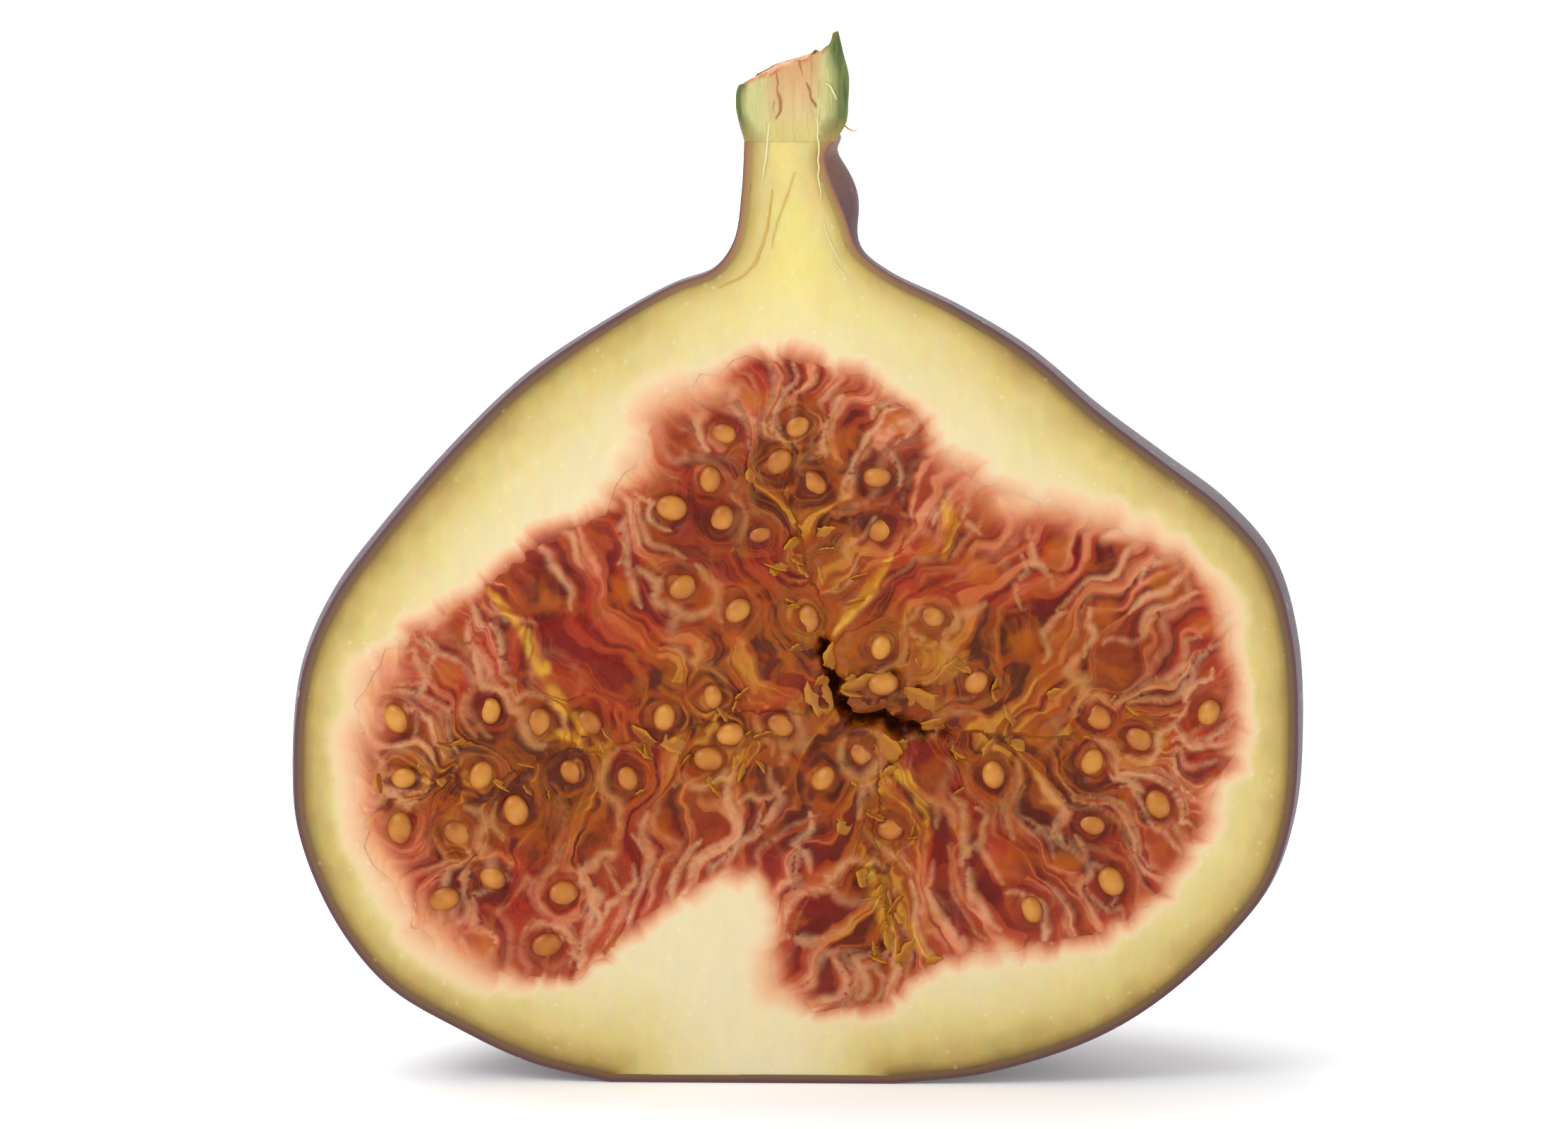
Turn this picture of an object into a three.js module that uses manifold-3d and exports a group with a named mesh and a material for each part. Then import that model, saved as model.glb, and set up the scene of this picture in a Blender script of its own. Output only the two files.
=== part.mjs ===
// Half of a fresh fig, cut lengthwise and standing on its flattened eye end, with the cut face towards -Y.
// A thin dark peel wraps a pale wall of flesh. The wall holds the pulp, a mass of small florets that grow inwards
// from the wall to a narrow central hollow, with a hard seed at the tip of many florets. A torn stub of the stalk is
// left on the neck. Units are millimetres: X runs across the cut face, Y into the fruit and Z up.
import * as THREE from "three";
import { mergeVertices } from "three/addons/utils/BufferGeometryUtils.js";
import Module from "manifold-3d";

const wasm = await Module();
wasm.setup();

// Driving dimensions of the fruit
const PEEL = 0.45; // thickness of the peel
const GAP = 0.08; // clearance between neighbouring pieces
const WIDEST_HALF = 26; // half the width of the cut face
const CUT_OFFSET = 3.4; // how far the widest section lies behind the cut
const RIB_COUNT = 10; // soft lengthwise ribs round the back
const RIB_HEIGHT = 0.16;
const NECK_TOP = 49.2; // where the stalk begins
const NECK_BULGE = 1.7; // the neck swells to the right behind the cut
const NECK_BULGE_Z = 46.6;
const NECK_BULGE_REACH = 2.6;

// The edge of the cut face from the top of the neck down to the flat of the base, as [x, z].
const RIGHT_EDGE = [
  [2.0, NECK_TOP], [1.97, 49.0], [1.5, 48.3], [1.7, 47.2], [2.5, 45.2], [3.2, 43.4], [4.7, 42.2], [8.3, 40.4],
  [12.0, 38.1], [15.6, 35.0], [19.0, 32.4], [22.1, 30.0], [24.4, 27.2], [25.6, 23.2], [25.9, 18.1],
  [25.6, 14.1], [24.5, 10.6], [22.6, 8.0], [19.0, 4.6], [15.4, 2.4], [9.9, 0.6], [5.0, 0.0],
];
const LEFT_EDGE = [
  [-2.65, NECK_TOP], [-2.66, 49.0], [-2.8, 46.3], [-3.2, 43.8], [-4.2, 42.4], [-6.4, 41.5], [-10.2, 39.3],
  [-13.9, 36.7], [-17.5, 33.2], [-21.2, 28.9], [-23.9, 25.2], [-25.5, 21.4], [-26.0, 16.0], [-25.7, 12.8],
  [-23.9, 8.4], [-21.2, 5.0], [-17.4, 2.7], [-13.7, 1.0], [-9.6, 0.0],
];
// The middle of the back seen from the side, as [y, z].
const BACK_EDGE = [
  [3.4, NECK_TOP], [3.39, 49.0], [3.3, 46.8], [3.7, 44.2], [5.2, 42.4], [8.4, 40.6], [13.0, 37.6], [18.0, 33.4],
  [22.2, 28.6], [25.3, 23.6], [26.9, 18.6], [26.9, 14.6], [25.8, 10.8], [23.6, 7.0], [20.8, 3.6],
  [18.0, 1.2], [15.4, 0.0],
];
const BODY_ROWS = 28;
const BODY_COLUMNS = 30;
const ROW_SPREAD = 1.35; // rows lie closer together at the neck than at the belly

// The stalk stub in the same three views, from its root on the neck up to the slanted, torn top
const STALK_ROOT = NECK_TOP + GAP;
const STALK_RIGHT = [[2.0, STALK_ROOT], [2.5, 50.0], [2.75, 51.2], [2.8, 52.6], [2.45, 53.7], [2.25, 54.3]];
const STALK_LEFT = [[-2.65, STALK_ROOT], [-2.95, 50.1], [-3.1, 50.9], [-3.05, 51.5], [-3.0, 51.8], [-2.9, 52.1]];
const STALK_BACK = [[3.4, STALK_ROOT], [3.3, 50.1], [3.4, 51.1], [3.35, 52.0], [3.2, 52.7], [3.0, 53.3]];
const STALK_ROWS = 7;
const STALK_COLUMNS = 16;
// Small pointed scales on the stalk: [x, y, z] of the middle, the three radii, and the lean to the right in radians.
const SCALES = [
  { at: [-2.95, 1.1, 50.15], radii: [0.4, 0.9, 0.8], lean: 0.2 },
  { at: [2.55, 1.3, 49.85], radii: [0.7, 0.5, 0.35], lean: 0.2 },
  { at: [0.2, 3.3, 50.2], radii: [1.1, 0.35, 0.75], lean: 0 },
  { at: [1.72, 0.9, 54.0], radii: [0.42, 0.5, 0.8], lean: 0.12 },
];

// The pulp on the cut face, clockwise from the top: [x, z] of its border with the flesh, then [x, z] of the point at
// the central hollow that the florets rooted there reach towards.
const PULP = [
  [-1.0, 38.2, -0.4, 32.0], [3.2, 37.4, 0.0, 31.7], [6.3, 35.3, 0.4, 29.5], [8.1, 33.1, 1.1, 26.9],
  [10.7, 31.3, 2.0, 24.3], [13.6, 30.5, 4.0, 21.8], [16.8, 29.3, 7.4, 19.6], [19.7, 28.2, 11.0, 18.8],
  [22.1, 25.4, 14.3, 18.6], [23.0, 21.8, 16.8, 18.4], [23.1, 17.8, 17.5, 18.0], [21.7, 14.5, 16.1, 17.7],
  [20.5, 11.6, 13.6, 17.8], [17.9, 8.8, 11.0, 18.0], [15.0, 7.2, 8.8, 17.9], [11.0, 6.7, 6.5, 17.2],
  [7.9, 6.4, 5.0, 14.5], [6.3, 5.2, 4.9, 10.1], [4.5, 3.8, 4.7, 7.9], [0.8, 3.7, 4.2, 8.3],
  [-1.5, 5.0, 4.2, 10.8], [-1.3, 7.9, 4.1, 14.1], [-2.3, 10.6, 2.4, 17.3], [-5.2, 9.9, -1.7, 18.6],
  [-8.3, 7.7, -6.1, 17.9], [-11.2, 5.4, -10.1, 16.9], [-14.8, 5.2, -13.3, 16.0], [-18.4, 6.4, -15.9, 15.5],
  [-21.0, 9.7, -17.7, 15.4], [-22.8, 13.4, -18.5, 15.7], [-23.2, 17.0, -18.3, 16.0], [-22.3, 21.2, -17.0, 16.3],
  [-19.5, 24.2, -14.1, 16.7], [-16.3, 26.2, -10.8, 17.5], [-13.7, 28.4, -7.2, 18.5], [-10.4, 30.0, -3.5, 19.3],
  [-8.3, 32.8, 0.3, 21.2], [-7.5, 35.3, 0.3, 25.4], [-4.6, 37.1, -0.6, 29.5],
];
const PULP_DEPTH = 21.5; // how far the pulp reaches behind the cut
const PULP_MIDDLE = new THREE.Vector2(1.2, 18.6); // where the back of the pulp closes
const BOWL_TURNS = [0, 0.14, 0.3, 0.46, 0.62, 0.78, 0.9]; // rings of the back, as shares of a quarter turn
const CUTTER_REACH = 2; // how far the tool that hollows the flesh starts in front of the cut

// The florets stand in three tiers like shingles. A row is [share of the way in, share of the floret's height].
const FLORETS = 44; // side by side round the border
const FLORET_COLUMNS = 3; // columns of the surface across one floret
const FLORET_HEIGHT = 0.85;
const ACROSS_FLORET = [0.0, 1.0, 0.9]; // share of the height at each column
const FLORET_SWAY = 0.006; // how far the florets wave sideways, as a share of the border
const TIER_ROWS = [
  [0.0, 0.0], [0.12, 0.45], [0.24, 0.85], [0.33, 1.0], [0.37, 0.15],
  [0.5, 0.6], [0.62, 1.0], [0.67, 0.15], [0.8, 0.65], [0.93, 1.0], [1.0, 0.1],
];
const TIER_ENDS = [0.33, 0.62, 0.93]; // where each tier's tips lie
const PULP_SINK = 0.45; // the ground between the florets lies a little behind the cut
const HOLLOW_SINK = 1.1; // the central hollow lies deeper

const SEED_RADII = [0.85, 0.7, 1.05]; // across, into and along the floret
const SEED_STAND = 0.6; // a seed's middle in front of the ground between the florets
const SEED_SHARE = 0.7; // of the florets whose tip shows a seed on the cut
const SEED_SPACING = 2.8; // least distance between two seeds
const RANDOM_START = 20417;

// The cleft where the central hollow gapes: [x, z] along its middle, and half its width there.
const CLEFT = [[1.5, 23.6, 0.15], [2.0, 21.6, 0.6], [3.0, 19.7, 0.7], [5.2, 18.8, 0.8], [8.0, 18.5, 0.15]];
const CLEFT_DEPTH = 4.0;
const CLEFT_TAPER = 0.35; // width at the bottom of the cleft as a share of the width at its mouth

// A repeatable random number from 0 to 1.
let randomState = RANDOM_START;
function random() {
  randomState = (randomState * 48271) % 2147483647;
  return randomState / 2147483647;
}

// Collects triangles by their corner points and turns them into a geometry with shared corners.
class Surface {
  constructor() {
    this.corners = [];
  }
  triangle(a, b, c) {
    this.corners.push(...a, ...b, ...c);
  }
  // A nearly flat face inside a rim of points.
  fan(rim) {
    for (let i = 1; i < rim.length - 1; i++) this.triangle(rim[0], rim[i], rim[i + 1]);
  }
  // The bands between rows of points. With rows running down and columns to the left, the surface faces away.
  grid(rows, closed = false) {
    for (let j = 0; j < rows.length - 1; j++) {
      const count = rows[j].length;
      for (let i = 0; i < (closed ? count : count - 1); i++) {
        const k = (i + 1) % count;
        this.triangle(rows[j][i], rows[j + 1][i], rows[j + 1][k]);
        this.triangle(rows[j][i], rows[j + 1][k], rows[j][k]);
      }
    }
  }
  // A face parallel to the cut inside a rim of any shape, facing the front or the back.
  cutFace(rim, facesFront = true) {
    const outline = rim.map(([x, , z]) => new THREE.Vector2(x, z));
    for (const [a, b, c] of THREE.ShapeUtils.triangulateShape(outline, [])) {
      if (facesFront) this.triangle(rim[a], rim[b], rim[c]);
      else this.triangle(rim[a], rim[c], rim[b]);
    }
  }
  geometry() {
    const loose = new THREE.BufferGeometry();
    loose.setAttribute("position", new THREE.Float32BufferAttribute(this.corners, 3));
    return mergeVertices(loose, 1e-3);
  }
}

// A closed geometry as a solid for joining and cutting, and back again.
function solidFrom(geometry) {
  const plain = geometry.clone();
  plain.deleteAttribute("normal");
  plain.deleteAttribute("uv");
  const merged = mergeVertices(plain, 1e-3);
  const vertProperties = new Float32Array(merged.attributes.position.array);
  const triVerts = new Uint32Array(merged.index.array);
  return new wasm.Manifold(new wasm.Mesh({ numProp: 3, vertProperties, triVerts }));
}
function geometryFrom(solid) {
  const mesh = solid.getMesh();
  const geometry = new THREE.BufferGeometry();
  geometry.setAttribute("position", new THREE.BufferAttribute(mesh.vertProperties, 3));
  geometry.setIndex(new THREE.BufferAttribute(mesh.triVerts, 1));
  geometry.computeVertexNormals();
  return geometry;
}

// A smooth curve through [across, up] points, read by the share of its length and moved inwards by an inset.
// The inside lies to the left of a right-hand edge (side 1) and to the right of a left-hand one (side -1).
class Edge {
  constructor(points, side) {
    const places = points.map(([across, up]) => new THREE.Vector3(across, 0, up));
    this.curve = new THREE.CatmullRomCurve3(places, false, "centripetal");
    this.side = side;
  }
  at(share, inset) {
    const point = this.curve.getPointAt(share);
    const along = this.curve.getTangentAt(share);
    return [point.x + this.side * along.z * inset, point.z - this.side * along.x * inset];
  }
}

// The rounded surface through a right, a left and a back edge. Its sections are ellipses whose widest part lies
// behind the cut. It is read by the share of the way down and of the way round from right to left, and the inset.
function roundSurface(rightEdge, leftEdge, backEdge) {
  return (down, round, inset) => {
    const [rightX, rightZ] = rightEdge.at(down, inset);
    const [leftX, leftZ] = leftEdge.at(down, inset);
    const [backY, backZ] = backEdge.at(down, inset);
    const half = (rightX - leftX) / 2;
    const offset = (CUT_OFFSET * half) / WIDEST_HALF;
    const start = Math.asin(offset / (backY - offset));
    const angle = round * (Math.PI + 2 * start) - start;
    const across = Math.cos(angle) / Math.cos(start);
    const side = across * across;
    const y = round === 0 || round === 1 ? 0 : offset + (backY - offset) * Math.sin(angle);
    return [(rightX + leftX) / 2 + half * across, y, (across > 0 ? rightZ : leftZ) * side + backZ * (1 - side)];
  };
}

const smoothFruit = roundSurface(new Edge(RIGHT_EDGE, 1), new Edge(LEFT_EDGE, -1), new Edge(BACK_EDGE, 1));

// A point on the fruit, with its ribs and the swelling of the neck.
function fruitPoint(down, round, inset) {
  const [x, y, z] = smoothFruit(down, round, inset);
  const behind = Math.sin(Math.PI * round);
  const rib = RIB_HEIGHT * Math.cos(2 * Math.PI * RIB_COUNT * round) * behind ** 2 * Math.sin(Math.PI * down);
  const neck = Math.exp(-(((z - NECK_BULGE_Z) / NECK_BULGE_REACH) ** 2));
  const bulge = NECK_BULGE * neck * behind * (1 + Math.cos(Math.PI * round)) * 0.77;
  return [x + rib * Math.cos(Math.PI * round) + bulge, y + rib * behind, z];
}

function fruitRows(inset) {
  return Array.from({ length: BODY_ROWS + 1 }, (_, j) =>
    Array.from({ length: BODY_COLUMNS + 1 }, (_, i) =>
      fruitPoint((j / BODY_ROWS) ** ROW_SPREAD, i / BODY_COLUMNS, inset),
    ),
  );
}

// The rim of a cut face: down its right edge and up its left one.
function cutRim(rows) {
  return [...rows.map((row) => row[0]), ...rows.map((row) => row.at(-1)).reverse()];
}

// A solid of rounded rows that is flat at the top, at the bottom and in the cut plane.
function filledSolid(rows) {
  const surface = new Surface();
  surface.grid(rows);
  surface.fan(rows[0]);
  surface.fan([...rows.at(-1)].reverse());
  surface.cutFace(cutRim(rows));
  return solidFrom(surface.geometry());
}

// The peel: a thin shell, open at the cut and at the neck.
function peelGeometry() {
  const outside = fruitRows(0);
  const inside = fruitRows(PEEL);
  const surface = new Surface();
  surface.grid(outside);
  surface.fan([...outside.at(-1)].reverse());
  surface.grid(inside.map((row) => [...row].reverse()));
  surface.fan(inside.at(-1));
  surface.grid([inside[0], outside[0]]);
  surface.grid([cutRim(outside), cutRim(inside)]);
  return surface.geometry();
}

// The border of the pulp and the rim of the central hollow, as closed curves read by the same share.
const border = new THREE.CatmullRomCurve3(PULP.map(([x, z]) => new THREE.Vector3(x, 0, z)), true, "centripetal");
const hollow = new THREE.CatmullRomCurve3(PULP.map(([, , x, z]) => new THREE.Vector3(x, 0, z)), true, "centripetal");
const PULP_COLUMNS = FLORETS * FLORET_COLUMNS;

// A point on the cut face of the pulp, by its share round the border and its share inward to the hollow.
function pulpPoint(share, inward) {
  const sway = FLORET_SWAY * Math.sin(Math.PI * inward) * Math.sin(2 * Math.PI * (1.4 * inward + 7 * share));
  const turned = (share + sway + 1) % 1;
  return border.getPoint(turned).lerp(hollow.getPoint(turned), inward);
}

// A ring round the back of the pulp, grown outwards by a margin.
function bowlRing(turn, columns, margin) {
  const quarter = (turn * Math.PI) / 2;
  return Array.from({ length: columns }, (_, i) => {
    const edge = border.getPoint(i / columns);
    const out = new THREE.Vector2(edge.x, edge.z).sub(PULP_MIDDLE);
    out.setLength((out.length() + margin) * Math.cos(quarter));
    return [PULP_MIDDLE.x + out.x, (PULP_DEPTH + margin) * Math.sin(quarter), PULP_MIDDLE.y + out.y];
  });
}

// The plain back of the pulp. Its first ring has one column a floret and is stitched to the ring at the cut.
function addBowl(surface, rim, margin) {
  const rings = BOWL_TURNS.slice(1).map((turn) => bowlRing(turn, FLORETS, margin));
  const last = rings.at(-1);
  const end = [PULP_MIDDLE.x, PULP_DEPTH + margin, PULP_MIDDLE.y];
  for (let i = 0; i < FLORETS; i++) {
    const k = (i + 1) % FLORETS;
    const corners = [0, 1, 2, 3].map((step) => rim[(i * FLORET_COLUMNS + step) % PULP_COLUMNS]);
    for (let step = 0; step < FLORET_COLUMNS; step++) surface.triangle(corners[step], corners[step + 1], rings[0][i]);
    surface.triangle(corners[FLORET_COLUMNS], rings[0][k], rings[0][i]);
    surface.triangle(last[i], last[k], end);
  }
  surface.grid([...rings].reverse(), true);
}

// A solid between two rings that run clockwise round the cut face, the second one further back.
function plugSolid(front, back) {
  const surface = new Surface();
  surface.grid([back, front], true);
  surface.cutFace(front);
  surface.cutFace(back, false);
  return solidFrom(surface.geometry());
}

// The space that the pulp takes in the flesh, carried on in front of the cut.
function pulpSpace() {
  const surface = new Surface();
  const rim = bowlRing(0, PULP_COLUMNS, GAP);
  const front = rim.map(([x, , z]) => [x, -CUTTER_REACH, z]);
  surface.grid([rim, front], true);
  surface.cutFace(front);
  addBowl(surface, rim, GAP);
  return solidFrom(surface.geometry());
}

// The ground and the florets, as the level of the surface at a row and a column. Florets in neighbouring tiers are
// set aside of each other.
function floretLevels() {
  const sizes = TIER_ENDS.map(() => Array.from({ length: FLORETS }, () => 0.6 + 0.4 * random()));
  return (row, column) => {
    const [inward, share] = TIER_ROWS[row];
    const tier = Math.max(0, TIER_ENDS.findIndex((end) => inward <= end + 0.05));
    const shifted = (column + tier) % PULP_COLUMNS;
    const size = sizes[tier][Math.floor(shifted / FLORET_COLUMNS)];
    return PULP_SINK - FLORET_HEIGHT * share * size * ACROSS_FLORET[shifted % FLORET_COLUMNS];
  };
}

// Places and directions of the seeds, drawn in turn round each tier.
function seedPlaces() {
  const places = [];
  TIER_ENDS.forEach((end, tier) => {
    for (let floret = 0; floret < FLORETS; floret++) {
      const shows = random() < SEED_SHARE;
      const share = (floret + 0.5 - tier / FLORET_COLUMNS + 0.3 * (random() - 0.5)) / FLORETS;
      const inward = end + 0.14 * (random() - 0.5);
      const place = pulpPoint(share, inward);
      const clear = places.every((other) => other.place.distanceTo(place) > SEED_SPACING);
      if (shows && clear) places.push({ place, along: pulpPoint(share, inward + 0.05).sub(place) });
    }
  });
  return places;
}

function seedSolid({ place, along }) {
  const seed = new THREE.SphereGeometry(1, 6, 4);
  seed.scale(...SEED_RADII);
  seed.rotateY(Math.atan2(along.x, along.z));
  seed.translate(place.x, PULP_SINK - SEED_STAND, place.z);
  return solidFrom(seed);
}

// The space of the cleft, narrowing into the pulp.
function cleftSpace() {
  const ring = (level, taper) => {
    const upper = CLEFT.map(([x, z, half]) => [x + 0.6 * half * taper, level, z + 0.8 * half * taper]);
    const lower = CLEFT.map(([x, z, half]) => [x - 0.6 * half * taper, level, z - 0.8 * half * taper]);
    return [...upper, ...lower.reverse()];
  };
  return plugSolid(ring(-CUTTER_REACH, 1), ring(CLEFT_DEPTH, CLEFT_TAPER));
}

// The pulp: florets and seeds on the cut face, with the plain bowl behind.
function pulpGeometry() {
  const levelAt = floretLevels();
  const rows = TIER_ROWS.map(([inward], row) =>
    Array.from({ length: PULP_COLUMNS }, (_, i) => {
      const place = pulpPoint(i / PULP_COLUMNS, inward);
      return [place.x, row === 0 ? 0 : levelAt(row, i), place.z];
    }),
  );
  const floor = rows.at(-1).map(([x, , z]) => [x, HOLLOW_SINK, z]);
  const surface = new Surface();
  surface.grid([...rows, floor], true);
  surface.cutFace(floor);
  addBowl(surface, rows[0], 0);
  let solid = solidFrom(surface.geometry());
  for (const seed of seedPlaces()) solid = solid.add(seedSolid(seed));
  return geometryFrom(solid.subtract(cleftSpace()));
}

// The stalk stub with the dried scales that sit on it.
function stalkGeometry() {
  const stubPoint = roundSurface(new Edge(STALK_RIGHT, 1), new Edge(STALK_LEFT, -1), new Edge(STALK_BACK, 1));
  const rows = Array.from({ length: STALK_ROWS + 1 }, (_, j) =>
    Array.from({ length: STALK_COLUMNS + 1 }, (_, i) => stubPoint(1 - j / STALK_ROWS, i / STALK_COLUMNS, 0)),
  );
  let solid = filledSolid(rows);
  for (const { at, radii, lean } of SCALES) {
    const scale = new THREE.SphereGeometry(1, 7, 5);
    scale.rotateX(Math.PI / 2);
    scale.scale(...radii);
    scale.rotateY(lean);
    scale.translate(...at);
    solid = solid.add(solidFrom(scale));
  }
  return geometryFrom(solid);
}

const LOOKS = {
  peel: { color: 0x4d3344, roughness: 0.55 },
  flesh: { color: 0xe6d69a, roughness: 0.45 },
  pulp: { color: 0xa8452a, roughness: 0.35 },
  stalk: { color: 0x7f8a4a, roughness: 0.6 },
};

function piece(name, geometry) {
  const mesh = new THREE.Mesh(geometry, new THREE.MeshStandardMaterial({ metalness: 0, ...LOOKS[name] }));
  mesh.name = name;
  return mesh;
}

const fig = new THREE.Group();
fig.add(piece("peel", peelGeometry()));
fig.add(piece("flesh", geometryFrom(filledSolid(fruitRows(PEEL + GAP)).subtract(pulpSpace()))));
fig.add(piece("pulp", pulpGeometry()));
fig.add(piece("stalk", stalkGeometry()));

// The origin of the whole lies under the middle of its box, on the surface that it stands on.
const box = new THREE.Box3().setFromObject(fig);
fig.position.set(-(box.min.x + box.max.x) / 2, -(box.min.y + box.max.y) / 2, -box.min.z);

export default fig;
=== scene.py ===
# A ripe fig cut in half lengthwise. It stands on its flat eye end with the cut face towards the camera.
import math
from functools import partial

import bmesh
import bpy
import numpy as np
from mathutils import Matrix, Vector
from mathutils.geometry import delaunay_2d_cdt
from mathutils.kdtree import KDTree


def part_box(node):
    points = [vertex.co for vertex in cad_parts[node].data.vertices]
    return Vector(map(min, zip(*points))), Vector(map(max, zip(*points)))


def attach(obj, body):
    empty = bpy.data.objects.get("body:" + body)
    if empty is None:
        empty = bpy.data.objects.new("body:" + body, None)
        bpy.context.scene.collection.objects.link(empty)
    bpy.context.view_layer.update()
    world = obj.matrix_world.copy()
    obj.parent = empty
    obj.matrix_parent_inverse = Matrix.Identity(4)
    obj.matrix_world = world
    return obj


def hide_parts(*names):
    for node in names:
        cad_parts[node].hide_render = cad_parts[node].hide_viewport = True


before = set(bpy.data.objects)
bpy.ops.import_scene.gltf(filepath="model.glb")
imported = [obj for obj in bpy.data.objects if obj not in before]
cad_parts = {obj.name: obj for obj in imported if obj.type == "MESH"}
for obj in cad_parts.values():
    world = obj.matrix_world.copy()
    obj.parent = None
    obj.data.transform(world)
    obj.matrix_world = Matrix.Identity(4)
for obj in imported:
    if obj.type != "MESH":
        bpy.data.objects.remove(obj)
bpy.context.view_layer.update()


# The peel
# The skin of a ripe fig, a few tenths of a millimetre thick. It grew as one sheet over the fruit and its
# neck, with soft lengthwise ribs, a pale waxy bloom and small pale pores. The knife left its edge bare all
# round the cut.

# The fig's own millimetres: x from the stalk's axis, y from the cut face into the fruit, z from the surface
# up.
FIG_ORIGIN = (0.05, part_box("peel")[0].y * 1000, 0)
PEEL_THICK = 0.45
CUT_HALF_WIDTH = 26
CUT_OFFSET = 3.4  # how far the widest section lies behind the cut
RIB_COUNT = 10
RIB_HEIGHT = 0.16
NECK_TOP = 49.2
NECK_BULGE = 1.7  # the neck swells to the right behind the cut
NECK_BULGE_Z = 46.6
NECK_BULGE_REACH = 2.6
PEEL_ROWS = 150
PEEL_COLUMNS = 200

# The edge of the cut face from the top of the neck down to the flat of the base, as (x, z).
RIGHT_EDGE = [
    (2.0, NECK_TOP), (1.97, 49.0), (1.5, 48.3), (1.7, 47.2), (2.5, 45.2), (3.2, 43.4), (4.7, 42.2),
    (8.3, 40.4), (12.0, 38.1), (15.6, 35.0), (19.0, 32.4), (22.1, 30.0), (24.4, 27.2), (25.6, 23.2),
    (25.9, 18.1), (25.6, 14.1), (24.5, 10.6), (22.6, 8.0), (19.0, 4.6), (15.4, 2.4), (9.9, 0.6), (5.0, 0.0),
]
LEFT_EDGE = [
    (-2.65, NECK_TOP), (-2.66, 49.0), (-2.8, 46.3), (-3.2, 43.8), (-4.2, 42.4), (-6.4, 41.5), (-10.2, 39.3),
    (-13.9, 36.7), (-17.5, 33.2), (-21.2, 28.9), (-23.9, 25.2), (-25.5, 21.4), (-26.0, 16.0), (-25.7, 12.8),
    (-23.9, 8.4), (-21.2, 5.0), (-17.4, 2.7), (-13.7, 1.0), (-9.6, 0.0),
]
# The middle of the back seen from the side, as (y, z).
BACK_EDGE = [
    (3.4, NECK_TOP), (3.39, 49.0), (3.3, 46.8), (3.7, 44.2), (5.2, 42.4), (8.4, 40.6), (13.0, 37.6),
    (18.0, 33.4), (22.2, 28.6), (25.3, 23.6), (26.9, 18.6), (26.9, 14.6), (25.8, 10.8), (23.6, 7.0),
    (20.8, 3.6), (18.0, 1.2), (15.4, 0.0),
]


def smooth_curve(points, shares, closed=False):
    """Points at shares of the way along a smooth curve through the given ones, where each step counts the
    same."""
    points = np.asarray(points, float)
    steps = len(points) if closed else len(points) - 1
    if closed:
        padded = np.vstack([points[-1:], points, points[:2]])
    else:
        padded = np.vstack([2 * points[:1] - points[1:2], points, 2 * points[-1:] - points[-2:-1]])
    run = np.asarray(shares, float) * steps
    step = np.clip(run.astype(int), 0, steps - 1)
    part = (run - step)[:, None]
    before, start, end, after = (padded[step + i] for i in range(4))
    gaps = [
        np.sqrt(np.linalg.norm(b - a, axis=1))[:, None]
        for a, b in ((before, start), (start, end), (end, after))
    ]
    leave = (start - before) / gaps[0] - (end - before) / (gaps[0] + gaps[1]) + (end - start) / gaps[1]
    reach = (end - start) / gaps[1] - (after - start) / (gaps[1] + gaps[2]) + (after - end) / gaps[2]
    leave, reach = leave * gaps[1], reach * gaps[1]
    squared, cubed = part**2, part**3
    bend = squared * (3 * (end - start) - 2 * leave - reach) + cubed * (2 * (start - end) + leave + reach)
    return start + leave * part + bend


def edge_places(points, downs, inset, side):
    """Places on an edge at shares of its length, moved inwards. side is 1 for a right-hand edge, -1 for a
    left one."""
    fine = smooth_curve(points, np.linspace(0, 1, 1200))
    length = np.concatenate([[0], np.cumsum(np.linalg.norm(np.diff(fine, axis=0), axis=1))])
    at = np.asarray(downs) * length[-1]
    place = np.column_stack([np.interp(at, length, fine[:, i]) for i in range(2)])
    along = np.gradient(fine, length, axis=0)
    along /= np.linalg.norm(along, axis=1)[:, None]
    across, up = (np.interp(at, length, along[:, i]) for i in range(2))
    return place[:, 0] + side * up * inset, place[:, 1] - side * across * inset


def round_surface(edges, downs, rounds, inset):
    """Rows of points on the rounded surface through a right, a left and a back edge. Its sections are
    ellipses whose widest part lies behind the cut. downs are shares of the way down and rounds from right
    to left round the back."""
    (right_x, right_z), (left_x, left_z), (back_y, back_z) = (
        edge_places(edge, downs, inset, side) for edge, side in zip(edges, (1, -1, 1))
    )
    half = ((right_x - left_x) / 2)[:, None]
    offset = CUT_OFFSET * half / CUT_HALF_WIDTH
    reach = back_y[:, None] - offset
    start = np.arcsin(offset / reach)
    angle = np.asarray(rounds)[None, :] * (math.pi + 2 * start) - start
    across = np.cos(angle) / np.cos(start)
    x = ((right_x + left_x) / 2)[:, None] + half * across
    y = np.maximum(offset + reach * np.sin(angle), 0)
    y[:, [0, -1]] = 0
    z = np.where(across > 0, right_z[:, None], left_z[:, None]) * across**2 + back_z[:, None] * (1 - across**2)
    return np.stack([x, y, z], axis=2)


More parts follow.
